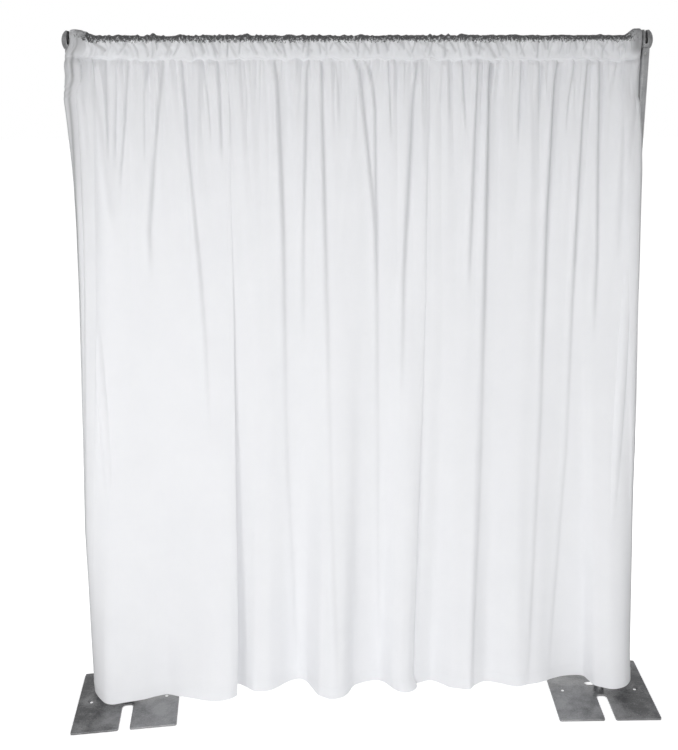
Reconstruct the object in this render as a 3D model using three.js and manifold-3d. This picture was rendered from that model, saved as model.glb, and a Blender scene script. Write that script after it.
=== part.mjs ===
// Pipe and drape backdrop: two uprights on slip-fit base plates, a telescoping crossbar hooked
// between their slotted heads, and three drape panels gathered on the crossbar by sewn pockets.
// Millimetres, +Z up, +X to the right along the crossbar, +Y away from the front.
// The origin is on the floor at the middle of the footprint.

import * as THREE from 'three';
import { mergeVertices } from 'three/addons/utils/BufferGeometryUtils.js';
import Module from 'manifold-3d';

const wasm = await Module();
wasm.setup();

// Whole backdrop
const uprightSpan = 1828.8; // between the upright axes, crossbar closed
const headTopHeight = 2438.4; // top of the slotted heads above the floor
const crossbarTravel = 1219.2; // how far the inner tube draws out
const seatGap = 0.3; // between pieces that seat on each other
const overrun = 4; // how far a cutting tool passes the face that it cuts
const weldDistance = 0.001; // nearer corners become one

// Base plates
const plateSide = 381;
const plateThickness = 6.35;
const plateCornerRadius = 6;
const plateSlotWidth = 41;
const plateSlotDepth = 152;
const plateSlotEndRadius = 13;
const plateSlotMouthRadius = 7;
const handHoleLength = 96;
const handHoleWidth = 28;
const handHoleSetback = 42; // behind the upright's axis
const anchorSpread = 284; // between the two anchor holes
const anchorHoleDiameter = 13;
const anchorSinkDiameter = 28;
const anchorSinkDepth = 4.5;
const leftPlateTurn = THREE.MathUtils.degToRad(6.8);
const rightPlateTurn = THREE.MathUtils.degToRad(-0.4);

// Base pins, their plugs and screws
const pinDiameter = 33.4;
const pinWall = 3.4;
const pinHeight = 203;
const pinLeadIn = 4;
const pinLeadInSlope = 0.41; // width taken off the pin's lip, as a share of the lead-in's length
const pinPlugHeight = 26;
const screwDiameter = 10;
const screwHeadDiameter = 20;
const screwHeadHeight = 5;
const screwRecess = 0.6; // the head sits this far up inside the plate
const screwEngagement = 20;
const socketAcross = 6;
const socketDepth = 3;

// Uprights and their slotted heads
const uprightDiameter = 38.1;
const uprightWall = 1.65;
const headDiameter = 54;
const headHeight = 55;
const headNeckDiameter = 42;
const headCrownDiameter = 25;
const headBore = 22;
const headSlotWidth = 10;
const headSlotFloor = 12; // slot floor above the head's shoulder
const headSpigotLength = 36;
const headPinDiameter = 5;
const headPinDrop = 18; // below the head's shoulder

// Crossbar
const outerTubeDiameter = 31.75;
const outerTubeWall = 1.5;
const innerTubeDiameter = 25.4;
const innerTubeWall = 1.5;
const tubeEndClearance = 7; // between a head and the end of the tube
const innerTubeShow = 60; // bare inner tube when the crossbar is closed
const glideClearance = 29.6; // left hook plug to the inner glide, crossbar closed
const stopDimpleDiameter = 7;
const stopDimpleCount = 3;
const stopDimpleShare = 2 / 3; // of the clearance between the two tubes
const bushingFlange = 1.5; // proud of the outer tube all round
const bushingFlangeThickness = 6;
const bushingSleeveLength = 32;
const glideLength = 12;
const glideSpigotLength = 22;

// Hooks, hook plugs and rivets
const hookThickness = 8;
const hookArmHeight = 18;
const hookTongueWidth = 14;
const hookTongueDrop = 24; // below the arm
const hookShankLength = 30; // inside the plug
const hookCornerRadius = 6;
const hookPlugLength = 40;
const hookPlugFlangeThickness = 3;
const rivetDiameter = 6;
const rivetHeadDiameter = 11;
const rivetHeadHeight = 2.2;
const rivetSetback = 16; // from the end of the tube

// Drape
const clothThickness = 2;
const pocketReach = 21; // middle of the cloth, in front of and behind the crossbar's axis
const pocketDrop = 50; // crossbar's axis down to the stitch line
const seamOffset = 1.6; // each ply's middle from the seam's plane
const hoodClearance = 7.5; // middle of the cloth off the slotted head
const hoodRise = 7; // over the top of the head
const hoodInset = 7; // open edge of the hood, inside the upright's axis
const foldDepth = 75; // a full share of the folds' reach at the hem
const gatherDepth = 10;
const pocketPuff = 4; // of the small gathers round the pocket
const gatherFade = 420; // height over which the small gathers die out
const panelGap = 4; // between neighbouring pockets
const hemOverlap = 36; // each panel's hem behind its left neighbour's
const leftHemHeight = 16;
const hemHeight = 28;
const leftSeamPlace = -422; // top joins between the panels, from the middle of the span
const rightSeamPlace = 227;
const leftHemReach = 158; // outer hem corners outside the upright axes
const rightHemReach = 126;
const leftHemSeamPlace = -495;
const rightHemSeamPlace = 202;
const panelColumns = 41;

// Facets round a full turn
const tubeFacets = 32;
const smallFacets = 16;
const hexFacets = 6;
const arcSteps = 6; // to each rounded corner of a plate
const barrelSteps = 8; // up the side of a slotted head

// Sizes that follow from the ones above
const pinClearHeight = plateThickness + seatGap;
const uprightRadius = uprightDiameter / 2;
const uprightBoreRadius = uprightRadius - uprightWall;
const headBaseHeight = headTopHeight - headHeight;
const crossbarHeight = headBaseHeight + headSlotFloor + seatGap + hookArmHeight / 2;
const outerTubeRadius = outerTubeDiameter / 2;
const outerBoreRadius = outerTubeRadius - outerTubeWall;
const innerTubeRadius = innerTubeDiameter / 2;
const innerBoreRadius = innerTubeRadius - innerTubeWall;
const hookReach = headDiameter / 2 + tubeEndClearance; // upright axis to tube end
const outerTubeStart = -uprightSpan / 2 + hookReach;
const innerTubeEnd = uprightSpan / 2 - hookReach;
const outerTubeEnd = innerTubeEnd - innerTubeShow;
const innerTubeStart = outerTubeStart + hookPlugLength + glideClearance + glideLength;
const crossing = 2 * headDiameter; // length of a tool that cuts right across a head or a tube

// Materials
const finishes = {
  plateSteel: { color: 0x707174, roughness: 0.42, metalness: 0.8 },
  pinSteel: { color: 0x7c7d80, roughness: 0.4, metalness: 0.85 },
  uprightTube: { color: 0x9a9c9f, roughness: 0.35, metalness: 0.9 },
  headCasting: { color: 0x8e8f92, roughness: 0.45, metalness: 0.7 },
  crossbarTube: { color: 0x4d4e50, roughness: 0.4, metalness: 0.8 },
  hookSteel: { color: 0x5c5d60, roughness: 0.45, metalness: 0.8 },
  fastener: { color: 0xa5a6a8, roughness: 0.35, metalness: 0.9 },
  nylon: { color: 0x242527, roughness: 0.6, metalness: 0 },
  whiteCloth: { color: 0xe9eaee, roughness: 0.9, metalness: 0 },
};

function named(name, geometry, finish) {
  const mesh = new THREE.Mesh(geometry, new THREE.MeshStandardMaterial(finishes[finish]));
  mesh.name = name;
  return mesh;
}

// Closed shapes and the booleans between them

function facingOut(geometry) {
  const place = geometry.attributes.position;
  const index = geometry.index.array;
  const [a, b, c] = [new THREE.Vector3(), new THREE.Vector3(), new THREE.Vector3()];
  let volume = 0;
  for (let i = 0; i < index.length; i += 3) {
    a.fromBufferAttribute(place, index[i]);
    b.fromBufferAttribute(place, index[i + 1]);
    c.fromBufferAttribute(place, index[i + 2]);
    volume += a.dot(b.cross(c));
  }
  if (volume < 0) {
    for (let i = 0; i < index.length; i += 3) {
      [index[i + 1], index[i + 2]] = [index[i + 2], index[i + 1]];
    }
  }
  return geometry;
}

function closed(geometry) {
  geometry.deleteAttribute('normal');
  geometry.deleteAttribute('uv');
  return facingOut(mergeVertices(geometry, weldDistance));
}

function toSolid(geometry) {
  return new wasm.Manifold(new wasm.Mesh({
    numProp: 3,
    vertProperties: Float32Array.from(geometry.attributes.position.array),
    triVerts: Uint32Array.from(geometry.index.array),
  }));
}

function toGeometry(solid) {
  const mesh = solid.getMesh();
  const geometry = new THREE.BufferGeometry();
  geometry.setAttribute('position', new THREE.BufferAttribute(mesh.vertProperties, 3));
  geometry.setIndex(new THREE.BufferAttribute(mesh.triVerts, 1));
  return geometry;
}

function without(geometry, tools) {
  return toGeometry(tools.reduce((solid, tool) => solid.subtract(toSolid(tool)), toSolid(geometry)));
}

function joined(geometry, others) {
  return toGeometry(others.reduce((solid, other) => solid.add(toSolid(other)), toSolid(geometry)));
}

// Round shapes stand on z = 0 and rise along +Z

function turned(profile, facets = tubeFacets) {
  const points = profile.map(([radius, height]) => new THREE.Vector2(radius, height));
  return closed(new THREE.LatheGeometry(points, facets).rotateX(Math.PI / 2));
}

function ring(outerRadius, innerRadius, length, facets = tubeFacets) {
  return turned([
    [innerRadius, 0],
    [outerRadius, 0],
    [outerRadius, length],
    [innerRadius, length],
    [innerRadius, 0],
  ], facets);
}

function rod(radius, length, facets = tubeFacets) {
  return turned([[0, 0], [radius, 0], [radius, length], [0, length]], facets);
}

function alongX(geometry) {
  return geometry.rotateY(Math.PI / 2);
}

function block(width, depth, height) {
  return closed(new THREE.BoxGeometry(width, depth, height));
}

// A cross hole or cross pin along Y, through the origin
function crossRod(radius, length) {
  return rod(radius, length, smallFacets).translate(0, 0, -length / 2).rotateX(Math.PI / 2);
}

// Base plate: square plate with a slot open to the front, a hand hole behind the pin,
// two countersunk anchor holes and the countersunk hole of the pin's screw

function plateOutline() {
  const half = plateSide / 2;
  const corner = half - plateCornerRadius;
  const slotHalf = plateSlotWidth / 2;
  const mouth = slotHalf + plateSlotMouthRadius;
  const mouthHeight = -half + plateSlotMouthRadius;
  const slotEnd = -half + plateSlotDepth - plateSlotEndRadius;
  const slotEndHalf = slotHalf - plateSlotEndRadius;
  const right = 0;
  const up = Math.PI / 2;
  const left = Math.PI;
  const down = 1.5 * Math.PI;
  const outline = new THREE.Shape();
  outline.absarc(-corner, -corner, plateCornerRadius, left, down, false);
  outline.absarc(-mouth, mouthHeight, plateSlotMouthRadius, down, 2 * Math.PI, false);
  outline.absarc(-slotEndHalf, slotEnd, plateSlotEndRadius, left, up, true);
  outline.absarc(slotEndHalf, slotEnd, plateSlotEndRadius, up, right, true);
  outline.absarc(mouth, mouthHeight, plateSlotMouthRadius, left, down, false);
  outline.absarc(corner, -corner, plateCornerRadius, down, 2 * Math.PI, false);
  outline.absarc(corner, corner, plateCornerRadius, right, up, false);
  outline.absarc(-corner, corner, plateCornerRadius, up, left, false);
  return outline;
}

function roundHole(x, y, radius) {
  return new THREE.Path().absarc(x, y, radius, 0, 2 * Math.PI, true);
}

function handHole() {
  const reach = (handHoleLength - handHoleWidth) / 2;
  const radius = handHoleWidth / 2;
  const hole = new THREE.Path();
  hole.absarc(reach, handHoleSetback, radius, Math.PI / 2, -Math.PI / 2, true);
  hole.absarc(-reach, handHoleSetback, radius, -Math.PI / 2, -1.5 * Math.PI, true);
  return hole;
}

function basePlate() {
  const outline = plateOutline();
  const anchorPlace = anchorSpread / 2;
  const screwHoleRadius = screwDiameter / 2 + seatGap;
  outline.holes.push(
    handHole(),
    roundHole(-anchorPlace, 0, anchorHoleDiameter / 2),
    roundHole(anchorPlace, 0, anchorHoleDiameter / 2),
    roundHole(0, 0, screwHoleRadius),
  );
  const plate = closed(new THREE.ExtrudeGeometry(outline, {
    depth: plateThickness,
    bevelEnabled: false,
    curveSegments: arcSteps,
  }));
  const sinkFloor = plateThickness - anchorSinkDepth;
  const sinks = [-anchorPlace, anchorPlace].map((x) => turned([
    [0, sinkFloor],
    [anchorHoleDiameter / 2, sinkFloor],
    [anchorSinkDiameter / 2, plateThickness],
    [anchorSinkDiameter / 2, plateThickness + overrun],
    [0, plateThickness + overrun],
  ], smallFacets).translate(x, 0, 0));
  const headRadius = screwHeadDiameter / 2 + seatGap;
  const screwSink = turned([
    [0, -overrun],
    [headRadius, -overrun],
    [headRadius, screwRecess],
    [screwHoleRadius, screwRecess + screwHeadHeight],
    [0, screwRecess + screwHeadHeight],
  ], smallFacets);
  return without(plate, [...sinks, screwSink]);
}

function baseScrew() {
  const headRadius = screwHeadDiameter / 2;
  const shankRadius = screwDiameter / 2;
  const tip = pinClearHeight + screwEngagement;
  const screw = turned([
    [0, screwRecess],
    [headRadius, screwRecess],
    [shankRadius, screwRecess + screwHeadHeight],
    [shankRadius, tip],
    [0, tip],
  ], smallFacets);
  const socket = rod(socketAcross / Math.sqrt(3), socketDepth + overrun, hexFacets);
  return without(screw, [socket.translate(0, 0, screwRecess - overrun)]);
}

function basePin() {
  const outer = pinDiameter / 2;
  const inner = outer - pinWall;
  const lip = outer - pinLeadIn * pinLeadInSlope;
  return turned([
    [inner, 0],
    [outer, 0],
    [outer, pinHeight - pinLeadIn],
    [lip, pinHeight],
    [inner, pinHeight],
    [inner, 0],
  ]).translate(0, 0, pinClearHeight);
}

function pinPlug() {
  const radius = pinDiameter / 2 - pinWall - seatGap;
  return ring(radius, screwDiameter / 2 + seatGap, pinPlugHeight).translate(0, 0, pinClearHeight);
}

// Upright: plain tube standing on the plate round the pin, cross drilled for the head pin

function uprightTube() {
  const start = pinClearHeight;
  const length = headBaseHeight - seatGap - start;
  const tube = ring(uprightRadius, uprightBoreRadius, length).translate(0, 0, start);
  const drill = crossRod(headPinDiameter / 2 + seatGap, crossing);
  return without(tube, [drill.translate(0, 0, headBaseHeight - headPinDrop)]);
}

// Slotted head: barrel with a domed crown, cut by two crossing slots into four petals
// round a bore, on a spigot that fits the tube

function slottedHead() {
  const radius = headDiameter / 2;
  const neck = headNeckDiameter / 2;
  const crown = headCrownDiameter / 2;
  const bore = headBore / 2;
  const spigot = uprightBoreRadius - seatGap;
  const neckAngle = -Math.acos(neck / radius);
  const crownAngle = Math.acos(crown / radius);
  const swell = headHeight / (Math.sin(crownAngle) - Math.sin(neckAngle));
  const beltHeight = -swell * Math.sin(neckAngle);
  const barrel = Array.from({ length: barrelSteps + 1 }, (_, i) => {
    const angle = neckAngle + (crownAngle - neckAngle) * i / barrelSteps;
    return [radius * Math.cos(angle), beltHeight + swell * Math.sin(angle)];
  });
  const body = turned([
    [bore, -headSpigotLength],
    [spigot, -headSpigotLength],
    [spigot, 0],
    ...barrel,
    [bore, headHeight],
    [bore, -headSpigotLength],
  ]);
  const slotHeight = headHeight - headSlotFloor + overrun;
  const slotMiddle = headSlotFloor + slotHeight / 2;
  const slots = [
    block(crossing, headSlotWidth, slotHeight).translate(0, 0, slotMiddle),
    block(headSlotWidth, crossing, slotHeight).translate(0, 0, slotMiddle),
  ];
  const drill = crossRod(headPinDiameter / 2 + seatGap, crossing).translate(0, 0, -headPinDrop);
  return without(body, [...slots, drill]).translate(0, 0, headBaseHeight);
}

// The head pin stops short of the tube's faces and clears the hook's tongue
function headPin() {
  const pin = crossRod(headPinDiameter / 2, uprightDiameter - seatGap);
  return pin.translate(0, 0, headBaseHeight - headPinDrop);
}

// Crossbar tubes, drawn along +X from their left ends

function rivetDrill(x) {
  return crossRod(rivetDiameter / 2 + seatGap, crossing).translate(x, 0, 0);
}

function outerTube() {
  const length = outerTubeEnd - outerTubeStart;
  const tube = alongX(ring(outerTubeRadius, outerBoreRadius, length)).translate(outerTubeStart, 0, 0);
  const rise = (outerBoreRadius - innerTubeRadius) * stopDimpleShare;
  const dimpleRadius = stopDimpleDiameter / 2;
  const dimplePlace = innerTubeStart + crossbarTravel + dimpleRadius + seatGap;
  const dimples = Array.from({ length: stopDimpleCount }, (_, i) => {
    const dimple = rod(dimpleRadius, rise + outerTubeWall / 2, smallFacets);
    dimple.translate(0, 0, outerBoreRadius - rise);
    return dimple.rotateX(2 * Math.PI * i / stopDimpleCount).translate(dimplePlace, 0, 0);
  });
  const stopped = joined(tube, dimples);
  return without(stopped, [rivetDrill(outerTubeStart + rivetSetback)]);
}

function innerTube() {
  const length = innerTubeEnd - innerTubeStart;
  const tube = alongX(ring(innerTubeRadius, innerBoreRadius, length)).translate(innerTubeStart, 0, 0);
  return without(tube, [rivetDrill(innerTubeEnd - rivetSetback)]);
}

function guideBushing() {
  const bore = innerTubeRadius + seatGap;
  const sleeve = outerBoreRadius - seatGap;
  const flange = outerTubeRadius + bushingFlange;
  const bushing = turned([
    [bore, -bushingSleeveLength],
    [sleeve, -bushingSleeveLength],
    [sleeve, seatGap],
    [flange, seatGap],
    [flange, bushingFlangeThickness],
    [bore, bushingFlangeThickness],
    [bore, -bushingSleeveLength],
  ]);
  return alongX(bushing).translate(outerTubeEnd, 0, 0);
}

function innerGlide() {
  const spigot = innerBoreRadius - seatGap;
  const head = outerBoreRadius - seatGap;
  const glide = turned([
    [0, -glideLength],
    [innerTubeRadius, -glideLength],
    [head, -glideLength / 2],
    [head, -seatGap],
    [spigot, -seatGap],
    [spigot, glideSpigotLength],
    [0, glideSpigotLength],
  ]);
  return alongX(glide).translate(innerTubeStart, 0, 0);
}

// Hook end, drawn for the left: the upright's axis at x = 0, the crossbar's axis along +X.
// The tongue drops into the head's bore, and the arm lies in its slot.

function hook() {
  const armHalf = hookArmHeight / 2;
  const tongueHalf = hookTongueWidth / 2;
  const tip = -armHalf - hookTongueDrop;
  const shankEnd = hookReach + hookShankLength;
  const round = tongueHalf - seatGap;
  const outline = new THREE.Shape();
  outline.absarc(-tongueHalf + hookCornerRadius, armHalf - hookCornerRadius, hookCornerRadius,
    Math.PI, Math.PI / 2, true);
  outline.lineTo(shankEnd, armHalf);
  outline.lineTo(shankEnd, -armHalf);
  outline.lineTo(tongueHalf, -armHalf);
  outline.absarc(tongueHalf - round, tip + round, round, 0, -Math.PI / 2, true);
  outline.absarc(-tongueHalf + round, tip + round, round, -Math.PI / 2, -Math.PI, true);
  const plate = new THREE.ExtrudeGeometry(outline, {
    depth: hookThickness,
    bevelEnabled: false,
    curveSegments: arcSteps,
  });
  const upright = closed(plate.translate(0, 0, -hookThickness / 2).rotateX(Math.PI / 2));
  return without(upright, [rivetDrill(hookReach + rivetSetback)]);
}

function hookPlug(tubeRadius, boreRadius) {
  const plug = turned([
    [0, -hookPlugFlangeThickness - seatGap],
    [tubeRadius, -hookPlugFlangeThickness - seatGap],
    [tubeRadius, -seatGap],
    [boreRadius - seatGap, -seatGap],
    [boreRadius - seatGap, hookPlugLength],
    [0, hookPlugLength],
  ]);
  const pocketLength = hookShankLength + hookPlugFlangeThickness + overrun;
  const pocket = block(pocketLength, hookThickness + 2 * seatGap, hookArmHeight + 2 * seatGap);
  pocket.translate(hookShankLength + seatGap - pocketLength / 2, 0, 0);
  return without(alongX(plug), [pocket, rivetDrill(rivetSetback)]).translate(hookReach, 0, 0);
}

function hookRivet(tubeRadius) {
  const shank = rivetDiameter / 2;
  const head = rivetHeadDiameter / 2;
  const seat = tubeRadius + seatGap;
  const rivet = turned([
    [0, -seat - rivetHeadHeight],
    [shank, -seat - rivetHeadHeight],
    [head, -seat],
    [shank, -seat],
    [shank, seat],
    [head, seat],
    [shank, seat + rivetHeadHeight],
    [0, seat + rivetHeadHeight],
  ], smallFacets);
  return rivet.rotateX(Math.PI / 2).translate(hookReach + rivetSetback, 0, 0);
}

// Drape panel: one sheet that rises from the hem, passes in front of the crossbar, over it and
// down to the stitch line behind. At the hem it follows the folds, at the top the gathers.

const sheetHeightShares = [0, 0.1, 0.25, 0.42, 0.6, 0.76, 0.9, 1];
// The pocket's section, front to back, flat on top where it rests on the crossbar
const pocketAngles = [180, 145, 110, 70, 35, 0].map(THREE.MathUtils.degToRad);
const pocketTopShare = Math.max(...pocketAngles.map(Math.sin));

// Folds at the hem in plan: share of the panel's width, share of the fold depth (minus is forward)
const leftFoldShares = [
  [0, 0.53], [0.05, -0.16], [0.17, -0.77], [0.3, -0.53], [0.45, -0.16], [0.53, -0.05],
  [0.7, -0.37], [0.86, -0.69], [0.94, -0.59], [1, -0.16],
];
const middleFoldShares = [
  [0, 0.67], [0.06, 0.19], [0.13, -0.12], [0.22, 0.24], [0.33, 0.96], [0.41, 0.19], [0.48, -0.67],
  [0.53, -0.91], [0.62, -0.45], [0.7, 0.48], [0.78, 0.67], [0.86, 0.13], [0.93, -0.4], [1, -0.19],
];
const rightFoldShares = [
  [0, 0.3], [0.06, 0.6], [0.15, -0.07], [0.2, -0.23], [0.24, -0.28], [0.32, 0.39], [0.39, 0.1],
  [0.46, -0.12], [0.58, 0.19], [0.7, 0.67], [0.77, 0.27], [0.82, -0.35], [0.87, -0.48],
  [0.91, -0.5], [0.96, -0.29], [0.995, 0.1], [1, 0.37],
];

// The sheet's top edge at the stitch line round an upright, from the hood's open edge inwards,
// in shares of the wrap's radius
const wrapShares = [[0.2, -1], [0.6, -1.15], [1.1, -1.15], [1.7, -0.95], [2.3, -0.45]];
const wrapRunShare = 3; // where the edge has come in under the crossbar

function planCurve(points) {
  return new THREE.SplineCurve(points.map(([x, y]) => new THREE.Vector2(x, y)));
}

function hemCurve(panel) {
  const width = panel.hemTo - panel.hemFrom;
  return planCurve(panel.foldShares.map(([along, reach]) => [
    panel.hemFrom + width * along,
    foldDepth * reach,
  ]));
}

function topCurve(panel) {
  const wrapRadius = headDiameter / 2 + hoodClearance;
  const axis = uprightSpan / 2;
  const wrap = wrapShares.map(([x, y]) => [x * wrapRadius, y * wrapRadius]);
  const points = [];
  if (panel.hood === 'left') {
    points.push(...wrap.map(([x, y]) => [x - axis, y]));
  } else {
    points.push([panel.topFrom, -seamOffset]);
  }
  const inset = wrapRunShare * wrapRadius;
  const middleFrom = panel.hood === 'left' ? inset - axis : panel.topFrom + inset;
  const middleTo = panel.hood === 'right' ? axis - inset : panel.topTo - inset;
  points.push([middleFrom, -seamOffset], [middleTo, -seamOffset]);
  if (panel.hood === 'right') {
    points.push(...wrap.map(([x, y]) => [axis - x, y]).reverse());
  } else {
    points.push([panel.topTo, -seamOffset]);
  }
  return planCurve(points);
}

// One over the slotted head, nought over the bare crossbar
function hoodShare(panel, x) {
  if (!panel.hood) return 0;
  const fromAxis = uprightSpan / 2 - Math.abs(x);
  return 1 - THREE.MathUtils.smoothstep(fromAxis, headDiameter / 2, headDiameter);
}

function gatherWave(panel, share) {
  return (1 - Math.cos(2 * Math.PI * panel.gathers * share)) / 2;
}

function panelPoints(panel) {
  const hem = hemCurve(panel);
  const top = topCurve(panel);
  const stitchHeight = crossbarHeight - pocketDrop;
  const hoodRadius = headDiameter / 2 + hoodClearance;
  const hoodHeight = headTopHeight - crossbarHeight + hoodRise;
  const restHeight = panel.restRadius + seatGap + clothThickness / 2;
  return Array.from({ length: panelColumns }, (_, column) => {
    const share = column / (panelColumns - 1);
    const hemPoint = hem.getPointAt(share);
    const topPoint = top.getPointAt(share);
    const wave = gatherWave(panel, share);
    const sheet = sheetHeightShares.map((rise) => {
      const height = THREE.MathUtils.lerp(panel.hemHeight, stitchHeight, rise);
      const fade = Math.exp(-(stitchHeight - height) / gatherFade);
      const place = hemPoint.clone().lerp(topPoint, rise);
      return new THREE.Vector3(place.x, place.y - gatherDepth * wave * fade, height);
    });
    const x = THREE.MathUtils.lerp(panel.topFrom, panel.topTo, share);
    const hood = hoodShare(panel, x);
    const puff = wave * pocketPuff;
    const reach = THREE.MathUtils.lerp(pocketReach, hoodRadius, hood) + puff;
    const rise = (THREE.MathUtils.lerp(restHeight, hoodHeight, hood) + puff) / pocketTopShare;
    const pocket = pocketAngles.map((angle) => new THREE.Vector3(
      x,
      reach * Math.cos(angle),
      crossbarHeight + rise * Math.sin(angle),
    ));
    const tailReach = THREE.MathUtils.lerp(seamOffset, hoodRadius, hood);
    const tail = new THREE.Vector3(x, tailReach, stitchHeight);
    return [...sheet, ...pocket, tail];
  });
}

// Gives a net of points its thickness and closes its four edges
function thickened(net, thickness) {
  const columns = net.length;
  const rows = net[0].length;
  const at = (i, j) => net[Math.min(Math.max(i, 0), columns - 1)][Math.min(Math.max(j, 0), rows - 1)];
  const positions = [];
  for (const side of [-1, 1]) {
    for (let i = 0; i < columns; i++) {
      for (let j = 0; j < rows; j++) {
        const across = at(i + 1, j).clone().sub(at(i - 1, j));
        const up = at(i, j + 1).clone().sub(at(i, j - 1));
        const offset = across.cross(up).setLength(side * thickness / 2);
        positions.push(...at(i, j).clone().add(offset).toArray());
      }
    }
  }
  const layer = columns * rows;
  const index = [];
  const quad = (a, b, c, d) => index.push(a, b, c, a, c, d);
  const id = (side, i, j) => side * layer + i * rows + j;
  for (let i = 0; i < columns - 1; i++) {
    for (let j = 0; j < rows - 1; j++) {
      quad(id(1, i, j), id(1, i + 1, j), id(1, i + 1, j + 1), id(1, i, j + 1));
      quad(id(0, i, j), id(0, i, j + 1), id(0, i + 1, j + 1), id(0, i + 1, j));
    }
    quad(id(0, i, 0), id(0, i + 1, 0), id(1, i + 1, 0), id(1, i, 0));
    quad(id(0, i, rows - 1), id(1, i, rows - 1), id(1, i + 1, rows - 1), id(0, i + 1, rows - 1));
  }
  for (let j = 0; j < rows - 1; j++) {
    quad(id(0, 0, j), id(1, 0, j), id(1, 0, j + 1), id(0, 0, j + 1));
    const last = columns - 1;
    quad(id(0, last, j), id(0, last, j + 1), id(1, last, j + 1), id(1, last, j));
  }
  const geometry = new THREE.BufferGeometry();
  geometry.setAttribute('position', new THREE.Float32BufferAttribute(positions, 3));
  geometry.setIndex(index);
  return facingOut(geometry);
}

const panels = [
  {
    name: 'drape_left',
    topFrom: hoodInset - uprightSpan / 2,
    topTo: leftSeamPlace - panelGap / 2,
    hemFrom: -uprightSpan / 2 - leftHemReach,
    hemTo: leftHemSeamPlace,
    hemHeight: leftHemHeight,
    foldShares: leftFoldShares,
    restRadius: outerTubeRadius,
    gathers: 8,
    hood: 'left',
  },
  {
    name: 'drape_middle',
    topFrom: leftSeamPlace + panelGap / 2,
    topTo: rightSeamPlace - panelGap / 2,
    hemFrom: leftHemSeamPlace - hemOverlap,
    hemTo: rightHemSeamPlace,
    hemHeight,
    foldShares: middleFoldShares,
    restRadius: outerTubeRadius,
    gathers: 8.5,
  },
  {
    name: 'drape_right',
    topFrom: rightSeamPlace + panelGap / 2,
    topTo: uprightSpan / 2 - hoodInset,
    hemFrom: rightHemSeamPlace - hemOverlap,
    hemTo: uprightSpan / 2 + rightHemReach,
    hemHeight,
    foldShares: rightFoldShares,
    restRadius: outerTubeRadius + bushingFlange,
    gathers: 8,
    hood: 'right',
  },
];

// Assembly

function upright(side, turn) {
  const group = new THREE.Group();
  const base = new THREE.Group();
  base.add(
    named(`base_plate_${side}`, basePlate(), 'plateSteel'),
    named(`base_screw_${side}`, baseScrew(), 'fastener'),
  );
  base.rotation.z = turn;
  group.add(
    base,
    named(`base_pin_${side}`, basePin(), 'pinSteel'),
    named(`pin_plug_${side}`, pinPlug(), 'pinSteel'),
    named(`upright_tube_${side}`, uprightTube(), 'uprightTube'),
    named(`slotted_head_${side}`, slottedHead(), 'headCasting'),
    named(`head_pin_${side}`, headPin(), 'fastener'),
  );
  return group;
}

function hookEnd(side, tubeRadius, boreRadius) {
  const group = new THREE.Group();
  group.add(
    named(`hook_${side}`, hook(), 'hookSteel'),
    named(`hook_plug_${side}`, hookPlug(tubeRadius, boreRadius), 'nylon'),
    named(`hook_rivet_${side}`, hookRivet(tubeRadius), 'fastener'),
  );
  return group;
}

function crossbar() {
  const group = new THREE.Group();
  const leftEnd = hookEnd('left', outerTubeRadius, outerBoreRadius);
  leftEnd.position.x = -uprightSpan / 2;
  const rightEnd = hookEnd('right', innerTubeRadius, innerBoreRadius);
  rightEnd.position.x = uprightSpan / 2;
  rightEnd.rotation.z = Math.PI;
  group.add(
    named('crossbar_outer_tube', outerTube(), 'crossbarTube'),
    named('crossbar_inner_tube', innerTube(), 'crossbarTube'),
    named('guide_bushing', guideBushing(), 'nylon'),
    named('inner_glide', innerGlide(), 'nylon'),
    leftEnd,
    rightEnd,
  );
  group.position.z = crossbarHeight;
  return group;
}

function backdrop() {
  const group = new THREE.Group();
  const leftStand = upright('left', leftPlateTurn);
  const rightStand = upright('right', rightPlateTurn);
  leftStand.position.x = -uprightSpan / 2;
  rightStand.position.x = uprightSpan / 2;
  group.add(leftStand, rightStand, crossbar());
  for (const panel of panels) {
    group.add(named(panel.name, thickened(panelPoints(panel), clothThickness), 'whiteCloth'));
  }
  // A turned plate reaches further out, so the footprint's middle is off the span's middle
  const corner = plateSide / 2 - plateCornerRadius;
  const outward = (turn) => corner * (Math.cos(turn) + Math.sin(Math.abs(turn))) + plateCornerRadius;
  group.position.x = (outward(leftPlateTurn) - outward(rightPlateTurn)) / 2;
  return group;
}

export default backdrop();
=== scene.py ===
# Pipe and drape backdrop: gathered cloth, finishes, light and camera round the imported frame.
# Metres, +Z up, +X to the right along the crossbar, +Y away from the front.
import bpy
import math
import numpy as np
from mathutils import Matrix, Vector


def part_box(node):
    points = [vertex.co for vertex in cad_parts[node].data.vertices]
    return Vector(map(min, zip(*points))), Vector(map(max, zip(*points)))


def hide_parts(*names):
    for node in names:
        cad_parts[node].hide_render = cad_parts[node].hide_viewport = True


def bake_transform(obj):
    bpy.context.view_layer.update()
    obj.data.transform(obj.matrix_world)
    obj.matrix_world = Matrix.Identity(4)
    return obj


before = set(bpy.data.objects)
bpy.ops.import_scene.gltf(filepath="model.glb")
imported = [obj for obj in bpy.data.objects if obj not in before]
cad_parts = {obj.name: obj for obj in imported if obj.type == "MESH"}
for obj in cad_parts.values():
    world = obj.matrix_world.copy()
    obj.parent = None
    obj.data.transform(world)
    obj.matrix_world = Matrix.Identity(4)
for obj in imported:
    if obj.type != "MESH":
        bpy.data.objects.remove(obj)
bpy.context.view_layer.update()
print("frame loaded,", len(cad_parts), "nodes")


# Where the frame's parts are

def middle(node):
    low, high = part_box(node)
    return (low + high) / 2


def placed(name, data):
    thing = bpy.data.objects.new(name, data)
    bpy.context.scene.collection.objects.link(thing)
    return thing


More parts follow.
